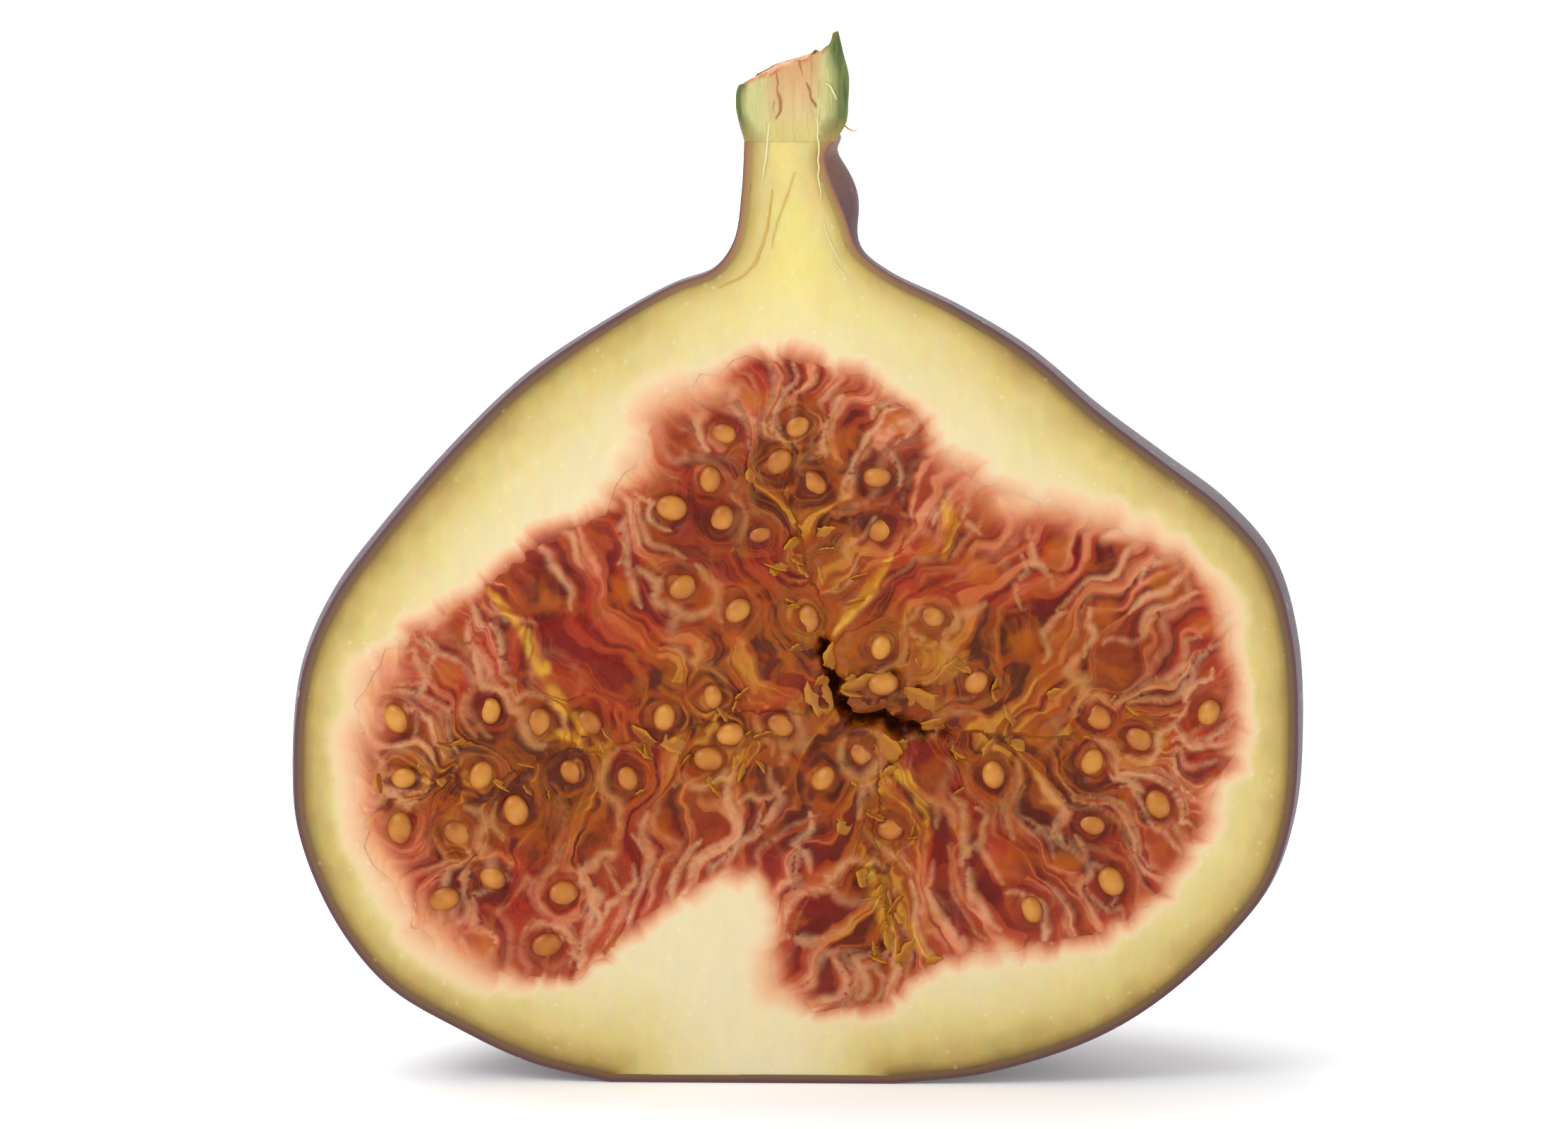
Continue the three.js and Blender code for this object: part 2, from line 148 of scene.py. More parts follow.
def fruit_surface(downs, rounds, inset):
    """Rows of points on the fruit, with its ribs and the swelling of the neck."""
    points = round_surface((RIGHT_EDGE, LEFT_EDGE, BACK_EDGE), downs, rounds, inset)
    behind = np.sin(math.pi * rounds)[None, :]
    aside = np.cos(math.pi * rounds)[None, :]
    rib = (
        RIB_HEIGHT * np.cos(2 * math.pi * RIB_COUNT * rounds)[None, :] * behind**2
        * np.sin(math.pi * downs)[:, None]
    )
    neck = np.exp(-(((points[..., 2] - NECK_BULGE_Z) / NECK_BULGE_REACH) ** 2))
    points[..., 0] += rib * aside + 0.77 * NECK_BULGE * neck * behind * (1 + aside)
    points[..., 1] += rib * behind
    return points


def grid_faces(rows, columns, start=0, closed=False):
    """Four-sided faces between rows of points numbered from start."""
    down = np.arange(rows - 1)[:, None] * columns
    here = np.arange(columns if closed else columns - 1)[None, :]
    beside = (here + 1) % columns
    corners = np.stack([down + here, down + columns + here, down + columns + beside, down + beside], axis=2)
    return (corners.reshape(-1, 4) + start).tolist()


def new_object(name, data):
    """An object in the scene for a mesh, a light or a camera."""
    made = bpy.data.objects.new(name, data)
    bpy.context.scene.collection.objects.link(made)
    return made


def new_piece(name, points, faces, sharp_degrees=40):
    """An object whose closed mesh has its points given in the fig's millimetres."""
    mesh = bpy.data.meshes.new(name)
    mesh.from_pydata(((np.asarray(points) + FIG_ORIGIN) / 1000).tolist(), [], faces)
    shape = bmesh.new()
    shape.from_mesh(mesh)
    bmesh.ops.recalc_face_normals(shape, faces=shape.faces)
    shape.to_mesh(mesh)
    shape.free()
    mesh.shade_smooth()
    mesh.set_sharp_from_angle(angle=math.radians(sharp_degrees))
    return new_object(name, mesh)


def set_values(piece, name, values, rest=0.0):
    """Keeps one number a point on a piece, for its material to read. Points past the given ones get the rest."""
    every = np.full(len(piece.data.vertices), rest, np.float32)
    every[: len(values)] = values
    piece.data.attributes.new(name, "FLOAT", "POINT").data.foreach_set("value", every)


def colour(hex_code):
    """A linear colour from an sRGB hex value such as "#4a3045"."""
    parts = [int(hex_code[i : i + 2], 16) / 255 for i in (1, 3, 5)]
    linear = [part / 12.92 if part <= 0.04045 else ((part + 0.055) / 1.055) ** 2.4 for part in parts]
    return (*linear, 1.0)


def set_inputs(node, inputs):
    """Sets a node's inputs: a socket is linked, and a hex value gives its colour."""
    for name, value in inputs.items():
        if isinstance(value, bpy.types.NodeSocket):
            node.id_data.links.new(value, node.inputs[name])
        else:
            is_hex = isinstance(value, str) and value.startswith("#")
            node.inputs[name].default_value = colour(value) if is_hex else value


def add_node(tree, kind, inputs=None, stops=None, out=None, **settings):
    """Adds a node, of the shader's family where the kind names none, with its settings, its inputs and the
    stops of a colour ramp, as hex values or as levels of grey. Gives the named output, or else the first
    one in use."""
    node = tree.nodes.new(kind if "Node" in kind else "ShaderNode" + kind)
    for name, value in settings.items():
        setattr(node, name, value)
    set_inputs(node, inputs or {})
    if stops:
        while len(node.color_ramp.elements) < len(stops):
            node.color_ramp.elements.new(0.5)
        for element, (place, shade) in zip(node.color_ramp.elements, stops):
            element.position = place
            element.color = colour(shade) if isinstance(shade, str) else (shade, shade, shade, 1.0)
    return node.outputs[out] if out else next((socket for socket in node.outputs if socket.enabled), None)


def new_material(name):
    """An empty material, what adds nodes to it, its shader, and the fig's millimetres as a socket for
    patterns."""
    material = bpy.data.materials.new(name)
    material.use_nodes = True
    add = partial(add_node, material.node_tree)
    mm = add("VectorMath", {0: add("TexCoord", out="Object"), "Scale": 1000.0}, operation="SCALE")
    return material, add, material.node_tree.nodes["Principled BSDF"], mm


def fig_skin():
    """Fig skin, grown with a wax bloom: muted purple, paler and greyer where the bloom is thick, with small
    pores."""
    material, add, shader, mm = new_material("fig_skin")
    bloom = add("TexNoise", {"Vector": mm, "Scale": 0.22, "Detail": 5.0, "Roughness": 0.62})
    skin = add("ValToRGB", {"Fac": bloom}, [(0.32, "#38202e"), (0.55, "#50333f"), (0.75, "#775a66")])
    mottle = add("TexNoise", {"Vector": mm, "Scale": 2.6, "Detail": 3.0, "Roughness": 0.6}, out="Color")
    skin = add("Mix", {0: 0.35, 6: skin, 7: mottle}, data_type="RGBA", blend_type="SOFT_LIGHT")
    # Pores: pale specks about 0.3 mm across, one in most cells of 1.6 mm
    pores = add("TexVoronoi", {"Vector": mm, "Scale": 0.62, "Randomness": 1.0})
    speck = add("ValToRGB", {"Fac": pores}, [(0.07, 0.75), (0.15, 0.0)])
    skin = add("Mix", {0: speck, 6: skin, 7: "#a48f86"}, data_type="RGBA")
    # The neck is browner and turns green towards the stalk.
    height = add("SeparateXYZ", {0: mm}, out="Z")
    ragged = add("Math", {0: bloom, 1: 5.0, 2: height}, operation="MULTIPLY_ADD")
    up_neck = add("MapRange", {"Value": ragged, "From Min": 44.0, "From Max": 53.0})
    neck = add(
        "ValToRGB", {"Fac": up_neck},
        [(0.0, "#50333f"), (0.45, "#70443c"), (0.8, "#80583c"), (1.0, "#6f6a38")],
    )
    skin = add("Mix", {0: up_neck, 6: skin, 7: neck}, data_type="RGBA")
    # Along the cut the skin is dark outside and turns to olive brown towards the flesh.
    depth = add("Attribute", attribute_name="depth", out="Fac")
    edge, neck_edge = (
        add("ValToRGB", {"Fac": depth}, stops)
        for stops in (
            [(0.0, "#5c3a46"), (0.25, "#52302e"), (0.55, "#66442a"), (1.0, "#6c5028")],
            [(0.0, "#7e4a44"), (0.35, "#96683e"), (1.0, "#9c8440")],
        )
    )
    in_neck = add("MapRange", {"Value": height, "From Min": 40.0, "From Max": 44.0})
    edge = add("Mix", {0: in_neck, 6: edge, 7: neck_edge}, data_type="RGBA")
    inward = add("MapRange", {"Value": depth, "From Max": 0.15})
    skin = add("Mix", {0: inward, 6: skin, 7: edge}, data_type="RGBA")
    rough = add("MapRange", {"Value": bloom, "To Min": 0.38, "To Max": 0.72})
    grain = add("TexNoise", {"Vector": mm, "Scale": 4.0, "Detail": 4.0, "Roughness": 0.65})
    bump = add("Bump", {"Height": grain, "Distance": 0.00012, "Strength": 0.6})
    set_inputs(shader, {
        "Base Color": skin, "Roughness": rough, "Normal": bump, "Sheen Weight": 0.08, "Sheen Roughness": 0.6,
    })
    return material


downs = np.linspace(0, 1, PEEL_ROWS) ** 1.2
rounds = np.linspace(0, 1, PEEL_COLUMNS)
outside = fruit_surface(downs, rounds, 0)
inside = fruit_surface(downs, rounds, PEEL_THICK)
count = PEEL_ROWS * PEEL_COLUMNS
last = count - PEEL_COLUMNS
faces = grid_faces(PEEL_ROWS, PEEL_COLUMNS) + grid_faces(PEEL_ROWS, PEEL_COLUMNS, start=count)
rim = [*range(0, count, PEEL_COLUMNS), *range(count - 1, 0, -PEEL_COLUMNS)]
faces += [[a, b, count + b, count + a] for a, b in zip(rim, rim[1:])]
faces += [[a, a + 1, count + a + 1, count + a] for a in range(PEEL_COLUMNS - 1)]
faces += [list(range(last, count)), list(range(count + last, 2 * count))]
peel = new_piece("peel_skin", np.vstack([outside.reshape(-1, 3), inside.reshape(-1, 3)]), faces)
set_values(peel, "depth", np.repeat([0.0, 1.0], count))
peel.data.materials.append(fig_skin())
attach(peel, "root")
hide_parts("peel")


# The flesh
# The wall of the fruit: firm, pale and moist, yellow under the peel and in the neck and almost white further
# in. The knife left it flat. Where it meets the pulp it is stained pink in fine streaks that run into the
# florets.
RIM_ROWS = 420
WALL_COLUMNS = 24
FLESH_LAP = 0.03  # how far the flesh reaches into the peel
FLESH_FIELD = ((-26, 0), (26, 50))
FLESH_SPACING = 0.4
BOWL_SPACING = 0.9
PULP_DEPTH = 21.5
PULP_MIDDLE = np.array([1.2, 18.6])

# The pulp on the cut face, clockwise from the top: (x, z) of its border with the flesh, then (x, z) of the
# point at the central hollow that the florets rooted there reach towards.
PULP = np.array([
    (-1.0, 38.2, -0.4, 32.0), (3.2, 37.4, 0.0, 31.7), (6.3, 35.3, 0.4, 29.5), (8.1, 33.1, 1.1, 26.9),
    (10.7, 31.3, 2.0, 24.3), (13.6, 30.5, 4.0, 21.8), (16.8, 29.3, 7.4, 19.6), (19.7, 28.2, 11.0, 18.8),
    (22.1, 25.4, 14.3, 18.6), (23.0, 21.8, 16.8, 18.4), (23.1, 17.8, 17.5, 18.0), (21.7, 14.5, 16.1, 17.7),
    (20.5, 11.6, 13.6, 17.8), (17.9, 8.8, 11.0, 18.0), (15.0, 7.2, 8.8, 17.9), (11.0, 6.7, 6.5, 17.2),
    (7.9, 6.4, 5.0, 14.5), (6.3, 5.2, 4.9, 10.1), (4.5, 3.8, 4.7, 7.9), (0.8, 3.7, 4.2, 8.3),
    (-1.5, 5.0, 4.2, 10.8), (-1.3, 7.9, 4.1, 14.1), (-2.3, 10.6, 2.4, 17.3), (-5.2, 9.9, -1.7, 18.6),
    (-8.3, 7.7, -6.1, 17.9), (-11.2, 5.4, -10.1, 16.9), (-14.8, 5.2, -13.3, 16.0), (-18.4, 6.4, -15.9, 15.5),
    (-21.0, 9.7, -17.7, 15.4), (-22.8, 13.4, -18.5, 15.7), (-23.2, 17.0, -18.3, 16.0),
    (-22.3, 21.2, -17.0, 16.3), (-19.5, 24.2, -14.1, 16.7), (-16.3, 26.2, -10.8, 17.5),
    (-13.7, 28.4, -7.2, 18.5), (-10.4, 30.0, -3.5, 19.3), (-8.3, 32.8, 0.3, 21.2), (-7.5, 35.3, 0.3, 25.4),
    (-4.6, 37.1, -0.6, 29.5),
])
PULP_COLUMNS = 1000
shares = np.arange(PULP_COLUMNS) / PULP_COLUMNS
border = smooth_curve(PULP[:, :2], shares, closed=True)
steps = np.linalg.norm(np.roll(border, -1, axis=0) - border, axis=1)
border_run = np.concatenate([[0], np.cumsum(steps)])


def soft_noise(u, v, seed):
    """Smooth random values from -1 to 1 over the plane, with crests about two units apart."""
    table = np.random.default_rng(seed).uniform(-1, 1, (64, 64))
    left, low = np.floor(u).astype(int), np.floor(v).astype(int)
    part_u, part_v = u - left, v - low
    part_u, part_v = part_u**2 * (3 - 2 * part_u), part_v**2 * (3 - 2 * part_v)
    lower = table[left % 64, low % 64] * (1 - part_u) + table[(left + 1) % 64, low % 64] * part_u
    upper = table[left % 64, (low + 1) % 64] * (1 - part_u) + table[(left + 1) % 64, (low + 1) % 64] * part_u
    return lower * (1 - part_v) + upper * part_v


def is_inside(points, outline):
    """Which of the points lie inside a closed outline, both as (x, z)."""
    crossings = np.zeros(len(points), int)
    for (x1, z1), (x2, z2) in zip(outline, np.roll(outline, -1, axis=0)):
        spans = (z1 > points[:, 1]) != (z2 > points[:, 1])
        crossings[spans] += points[spans, 0] < x1 + (points[spans, 1] - z1) * (x2 - x1) / (z2 - z1)
    return crossings % 2 == 1


def scattered(low, high, spacing, seed):
    """Points about a spacing apart over a box, each moved a little at random."""
    x, z = np.meshgrid(np.arange(low[0], high[0], spacing), np.arange(low[1], high[1], spacing * 0.87))
    x[1::2] += spacing / 2
    points = np.column_stack([x.ravel(), z.ravel()])
    return points + np.random.default_rng(seed).uniform(-0.2, 0.2, points.shape) * spacing


def nearest(points, places):
    """The number of the nearest place to each point, and how far it is."""
    tree = KDTree(len(places))
    for number, (x, z) in enumerate(places):
        tree.insert((x, 0, z), number)
    tree.balance()
    found = [tree.find((x, 0, z))[1:] for x, z in points]
    return np.array([number for number, _ in found]), np.array([gap for _, gap in found])


def filled_outline(outlines, inner_points):
    """Points and triangles that fill the first outline, with edges along every outline and through inner
    points."""
    points = [Vector(point) for outline in outlines for point in outline] + [
        Vector(point) for point in inner_points
    ]
    edges, start = [], 0
    for outline in outlines:
        edges += [(start + i, start + (i + 1) % len(outline)) for i in range(len(outline))]
        start += len(outline)
    made = delaunay_2d_cdt(points, edges, [], 1, 1e-7)
    return np.array([point[:] for point in made[0]]), [list(face) for face in made[2]]


def set_flow(piece, along, inward):
    """Keeps the florets' grain as a UV map in millimetres: along the border of the pulp, and inward from it.
    A face across the start of the border is given the full run, so that the grain doesn't jump inside it."""
    corners = np.zeros(len(piece.data.loops), int)
    piece.data.loops.foreach_get("vertex_index", corners)
    places = np.zeros((len(piece.data.vertices), 2))
    places[: len(along)] = np.column_stack([along, inward])
    run, depth = places[corners].T
    first = np.zeros(len(piece.data.polygons), int)
    sizes = np.zeros(len(piece.data.polygons), int)
    piece.data.polygons.foreach_get("loop_start", first)
    piece.data.polygons.foreach_get("loop_total", sizes)
    highest = np.repeat(np.maximum.reduceat(run, first), sizes)
    run = np.where(highest - run > border_run[-1] / 2, run + border_run[-1], run)
    flow = piece.data.uv_layers.new(name="flow")
    flow.data.foreach_set("uv", np.column_stack([run, depth]).astype(np.float32).ravel())


def add_streaks(add, mm, width, length):
    """Fine wavy streaks along the florets' grain, of a width and a length in millimetres, as a 0 to 1 socket."""
    flow = add("UVMap", uv_map="flow")
    grain = add("TexNoise", {"Vector": mm, "Scale": 0.55, "Detail": 2.0}, out="Color")
    for operation, inputs in (
        ("SUBTRACT", {1: (0.5, 0.5, 0.5)}),
        ("MULTIPLY_ADD", {1: (1.6, 1.6, 0.0), 2: flow}),
        ("MULTIPLY", {1: (1 / width, 1 / length, 0.0)}),
    ):
        grain = add("VectorMath", {0: grain, **inputs}, operation=operation)
    return add(
        "TexNoise", {"Vector": grain, "Scale": 0.5, "Detail": 2.5, "Roughness": 0.5, "Distortion": 0.6}
    )


# The tones between flesh and pulp, by how far a point lies from outside their border to inside it.
STAIN_OUTSIDE = 1.0
STAIN_INSIDE = -1.9
STAIN_TONES = [
    (0.0, "#dfcfa4"), (0.2, "#e3c8a0"), (0.42, "#deae84"), (0.6, "#d08a62"), (0.8, "#b45e3c"), (1.0, "#90381e"),
]


def add_stain(add, mm, gap):
    """The pink that runs in streaks from the pulp into the flesh: its colour and the streaked gap to the
    border."""
    streaks = add_streaks(add, mm, 0.95, 9.0)
    shift = add(
        "MapRange", {"Value": streaks, "From Min": 0.28, "From Max": 0.72, "To Min": -0.65, "To Max": 0.3}
    )
    signed = add("Math", {0: shift, 1: gap})
    # The stain is narrow along some stretches of the border and wide along others.
    uneven = add("TexNoise", {"Vector": mm, "Scale": 0.13, "Detail": 1.0})
    steeper = add(
        "MapRange", {"Value": uneven, "From Min": 0.4, "From Max": 0.6, "To Min": 0.7, "To Max": 1.9}
    )
    signed = add("Math", {0: signed, 1: steeper}, operation="MULTIPLY")
    share = add("MapRange", {"Value": signed, "From Min": STAIN_OUTSIDE, "From Max": STAIN_INSIDE})
    return add("ValToRGB", {"Fac": share}, STAIN_TONES), signed


def fig_flesh():
    """Cut fig flesh, moist and a little translucent: yellow under the peel, cream inside, pink beside the
    pulp."""
    material, add, shader, mm = new_material("fig_flesh")
    cloud = add("TexNoise", {"Vector": mm, "Scale": 0.3, "Detail": 4.0, "Roughness": 0.6})
    spread = add("MapRange", {"Value": cloud, "To Min": -1.1, "To Max": 1.1})
    rim = add("Attribute", attribute_name="rim", out="Fac")
    share = add("MapRange", {"Value": rim, "From Max": 1.2})
    height = add("SeparateXYZ", {0: mm}, out="Z")
    up = add("MapRange", {"Value": height, "From Min": 37.5, "From Max": 42.5})
    inward = add("Math", {0: spread, 1: share, 2: rim}, operation="MULTIPLY_ADD")
    inward = add("Math", {0: inward, 1: up, 2: inward}, operation="MULTIPLY_ADD")
    inward = add("Math", {0: up, 1: 0.35, 2: inward}, operation="MULTIPLY_ADD")
    from_peel = add("MapRange", {"Value": inward, "From Max": 6.5})
    flesh = add(
        "ValToRGB", {"Fac": from_peel},
        [(0.0, "#6c5028"), (0.035, "#94793c"), (0.09, "#b39a54"), (0.25, "#ccb872"), (0.5, "#d8c78e"),
         (0.85, "#decfa4")],
    )
    # The neck stays yellow all the way in.
    flesh = add("Mix", {0: up, 6: flesh, 7: "#e4d07a"}, data_type="RGBA", blend_type="DARKEN")
    stretched = add("VectorMath", {0: mm, 1: (1.5, 1.5, 0.6)}, operation="MULTIPLY")
    fibres = add("TexNoise", {"Vector": stretched, "Scale": 1.0, "Detail": 4.0, "Roughness": 0.6}).node.outputs
    flesh = add("Mix", {0: 0.28, 6: flesh, 7: fibres["Color"]}, data_type="RGBA", blend_type="SOFT_LIGHT")
    # Streaks of pink reach out of the pulp by a millimetre or so.
    gap = add("Attribute", attribute_name="pulp_gap", out="Fac")
    pink, signed = add_stain(add, mm, gap)
    stain = add(
        "MapRange", {"Value": signed, "From Min": 0.95, "From Max": 0.0}, interpolation_type="SMOOTHSTEP"
    )
    flesh = add("Mix", {0: stain, 6: flesh, 7: pink}, data_type="RGBA")
    # Cut cells catch the light as tiny pale dots, a quarter of a millimetre across.
    cells = add("TexVoronoi", {"Vector": mm, "Scale": 1.1})
    dot = add("ValToRGB", {"Fac": cells}, [(0.06, 0.14), (0.16, 0.0)])
    flesh = add("Mix", {0: dot, 6: flesh, 7: "#fbf6dc"}, data_type="RGBA")
    rough = add("MapRange", {"Value": fibres["Fac"], "To Min": 0.3, "To Max": 0.6})
    bump = add("Bump", {"Height": fibres["Fac"], "Distance": 0.00015, "Strength": 0.5})
    set_inputs(shader, {
        "Base Color": flesh, "Roughness": rough, "Normal": bump, "Subsurface Weight": 0.35,
        "Subsurface Radius": (1.0, 0.7, 0.35), "Subsurface Scale": 0.0012, "IOR": 1.4,
    })
    return material


def shell_faces(front_faces, rows, columns, start, ridge=()):
    """Faces that close a front with a rounded shell. The front's outline runs down its right edge and up its
    left one, and the shell's rows of points are numbered from start."""
    right = np.arange(rows)
    left = 2 * rows - 1 - right
    faces = front_faces + grid_faces(rows, columns, start=start)
    for a, b in zip(right, right[1:]):
        faces.append([a, b, start + b * columns, start + a * columns])
        faces.append([left[a], start + (a + 1) * columns - 1, start + (b + 1) * columns - 1, left[b]])
    faces.append([right[0], *range(start, start + columns), left[0], *ridge])
    faces.append([right[-1], *range(start + (rows - 1) * columns, start + rows * columns), left[-1]])
    return faces


wall = fruit_surface(np.linspace(0, 1, RIM_ROWS), np.linspace(0, 1, WALL_COLUMNS), PEEL_THICK - FLESH_LAP)
outline = np.vstack([wall[:, 0], wall[::-1, -1]])[:, [0, 2]]
field = scattered(*FLESH_FIELD, FLESH_SPACING, seed=3)
field = field[is_inside(field, outline)]
_, rim_gap = nearest(field, outline)
_, border_gap = nearest(field, border)
field = field[(rim_gap > 0.15) & (border_gap > 0.12) & ~is_inside(field, border)]
bowl = scattered(*FLESH_FIELD, BOWL_SPACING, seed=4)
_, bowl_gap = nearest(bowl, border)
bowl = bowl[is_inside(bowl, border) & ((bowl_gap > 1.3) | (bowl_gap < 1.0) & (bowl_gap > 0.2))]
front, front_faces = filled_outline([outline, border], np.vstack([field, bowl]))
_, rim_gap = nearest(front, outline)
border_number, border_gap = nearest(front, border)
in_pulp = is_inside(front, border) & (border_gap > 0.01)
level = 0.05 * soft_noise(front[:, 0] / 0.9, front[:, 1] / 0.9, 5) * np.minimum(rim_gap, 1)
level *= np.minimum(border_gap, 1)
level[in_pulp] = 4.5 * np.sqrt(np.maximum(border_gap[in_pulp] - 1.0, 0))
border_gap[in_pulp] *= -1
points = np.column_stack([front[:, 0], level, front[:, 1]])
faces = shell_faces(front_faces, RIM_ROWS, WALL_COLUMNS - 2, len(points))
flesh = new_piece("flesh_wall", np.vstack([points, wall[:, 1:-1].reshape(-1, 3)]), faces)
set_values(flesh, "rim", rim_gap)
set_values(flesh, "pulp_gap", border_gap, rest=9)
set_flow(flesh, border_run[border_number], -border_gap)
flesh.data.materials.append(fig_flesh())
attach(flesh, "root")
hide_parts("flesh")


# The pulp
# Hundreds of tiny flowers that grew inwards from the wall towards a narrow hollow, soft and wet with juice.
# The knife went through them lengthwise: pink at their roots, red further in and brown-orange at the hollow,
# each round a seed.
PULP_ROWS = 72
PULP_SPACING = 0.165
FLORET_SWAY = 0.006
FLORET_SPACING = 2.3  # least distance between two florets
FLORET_RANDOM = 11
PULP_FIELD = ((-24, 3), (24, 39))
LINE_STEP = 0.12  # between the points of a thread
BAND_POINTS = 60
BORDER_SINK = 0.05
PULP_RISE = 0.12
HOLLOW_SINK = 0.35
BOWL_RINGS = 14
BOWL_COLUMNS = 250
CLEFT = np.array([
    (1.3, 23.0, 0.08), (1.8, 21.8, 0.24), (2.1, 20.3, 0.2), (3.0, 19.4, 0.3), (4.5, 19.2, 0.22),
    (5.1, 18.7, 0.36), (6.3, 18.6, 0.2), (7.9, 18.1, 0.02),
])
CLEFT_DEPTH = 1.7

# The seeds that show on the cut, as (x, z).
SEEDS = np.array([
    (-3.7, 33.9), (-0.9, 32.4), (0.1, 34.3), (-4.4, 31.5), (-6.4, 30.0), (-3.8, 29.4), (-1.9, 28.7),
    (-5.8, 25.9), (-3.0, 24.7), (0.9, 31.3), (4.2, 31.7), (4.4, 28.9), (7.1, 24.4), (0.6, 24.2), (4.4, 22.8),
    (9.3, 21.0), (4.5, 20.9), (3.4, 17.2), (10.2, 16.2), (15.3, 16.9), (18.7, 14.7), (15.3, 13.7),
    (17.7, 18.1), (15.6, 19.2), (21.3, 19.5), (4.9, 13.3), (12.2, 9.2), (16.3, 10.7), (-15.8, 19.4),
    (-20.7, 19.0), (-13.2, 18.8), (-10.7, 18.8), (-4.3, 20.2), (-6.8, 19.1), (-3.4, 18.2), (-0.8, 18.7),
    (-20.3, 15.9), (-16.3, 16.0), (-8.7, 15.9), (-4.5, 16.9), (-20.5, 13.3), (-17.5, 13.0), (-14.5, 14.2),
    (-15.7, 10.7), (-18.2, 9.6), (-12.0, 9.9), (-12.9, 7.2), (1.4, 16.0), (-11.6, 16.2),
])


def pulp_place(share, inward):
    """Places (x, z) on the cut face of the pulp, by shares round the border and shares inward to the hollow."""
    share, inward = np.broadcast_arrays(share, inward)
    sway = FLORET_SWAY * np.sin(math.pi * inward) * np.sin(2 * math.pi * (1.4 * inward + 7 * share))
    turned = ((share + sway) % 1).ravel()
    outer = smooth_curve(PULP[:, :2], turned, closed=True)
    inner = smooth_curve(PULP[:, 2:], turned, closed=True)
    return (outer + (inner - outer) * inward.reshape(-1, 1)).reshape(*share.shape, 2)


def wander(points, size, seed):
    """A soft random step (x, z) at each point, over patches of a size in millimetres."""
    x, z = points.T / size
    return np.column_stack([soft_noise(x, z, seed), soft_noise(x, z, seed + 1)])


def settle(points, depth):
    """Moves points on the cut face as the tissue is moved: it wanders, and makes way for seeds and for
    florets."""
    free = np.clip(depth / 1.6, 0, 1)[:, None] ** 1.5
    points = points + free * (wander(points, 1.35, 21) * 0.42 + wander(points, 0.6, 23) * 0.1)
    moved = points.copy()
    for centre, share in zip(FLORETS, FLORET_PUSH):
        away = points - centre
        moved += free * away * (share * np.exp(-(away**2).sum(axis=1) / 0.95**2))[:, None]
    return moved


def along_line(points, line):
    """How far points lie from a line of (x, z, half width), and the half width of the nearest place on it."""
    best = np.full(len(points), 1e9)
    half = np.zeros(len(points))
    for start, end in zip(line, line[1:]):
        along = end[:2] - start[:2]
        share = np.clip(((points - start[:2]) @ along) / (along @ along), 0, 1)
        gap = np.linalg.norm(points - start[:2] - share[:, None] * along, axis=1)
        closer = gap < best
        best[closer] = gap[closer]
        half[closer] = (start[2] + (end[2] - start[2]) * share)[closer]
    return best, half


def thread_paths():
    """The paths (x, z) of the pale threads on the cut, each with a half width and a paleness."""
    draw = np.random.default_rng(71)
    paths = []
    run = 0.0
    while run < border_run[-1]:
        share = np.interp(run, border_run, np.append(shares, 1.0)) % 1
        length = floret_length[int(share * PULP_COLUMNS) % PULP_COLUMNS]
        first = max(0.0, draw.uniform(-0.8, 1.8))
        last = min(first + draw.uniform(2.5, 8.0), 0.8 * length)
        if last - first > 1.0:
            depths = np.arange(first, last, LINE_STEP)
            wave = 0.0014 * soft_noise(depths / 1.2 + 40 * draw.random(), np.zeros(len(depths)), 72)
            place = settle(pulp_place(share + wave, depths / length), depths)
            paths.append((place, draw.uniform(0.18, 0.42), 0.2 + 0.8 * draw.random()))
        run += draw.uniform(0.6, 1.9)
    for centre, column in zip(FLORETS, nearest(FLORETS, flat)[0] % PULP_COLUMNS):
        way = face[-1, column] - face[0, column]
        turn = math.atan2(way[1], way[0]) + draw.normal(0, 0.5)
        way = np.array([math.cos(turn), math.sin(turn)])
        aside = np.array([-way[1], way[0]])
        for side in (-1, 1):
            radius, stretch, opening = draw.uniform(1.0, 1.35), draw.uniform(1.0, 1.4), draw.uniform(1.5, 3.2)
            tail_length, width, paleness = draw.uniform(0.3, 2.4), draw.uniform(0.2, 0.5), draw.uniform(0.2, 1.0)
            if draw.random() < 0.45:
                continue
            angles = np.arange(0.2, opening, LINE_STEP / radius)[:, None]
            lobe = centre + radius * (side * np.sin(angles) * aside - stretch * np.cos(angles) * way)
            tail = lobe[0] - np.arange(tail_length, 0, -LINE_STEP)[:, None] * (way * 0.96 - side * aside * 0.1)
            place = np.vstack([tail, lobe])
            place = place + 0.28 * wander(place, 0.9, 73)
            place = place[is_inside(place, border)]
            if len(place) > 8:
                paths.append((place, width, paleness))
    return paths


# Bands of yellow tissue on the cut, as (x, z).
GOLDEN_BANDS = [
    [(-15.9, 25.8), (-14.1, 23.5), (-13.0, 21.3), (-11.9, 19.5), (-10.1, 17.6)],
    [(3.5, 12.5), (4.1, 10.4), (4.8, 8.2), (5.3, 6.4)],
    [(4.4, 10.9), (5.6, 8.6), (7.3, 6.0)],
    [(2.0, 23.5), (3.0, 24.9), (3.9, 26.0), (4.9, 27.6)],
    [(4.9, 16.9), (6.0, 15.6), (6.9, 13.6)],
    [(7.3, 21.2), (8.1, 21.7), (8.9, 22.6)],
    [(-13.2, 17.9), (-12.0, 18.2), (-10.4, 17.4), (-9.3, 17.7)],
    [(7.6, 30.5), (8.0, 29.2), (7.6, 27.4)],
]


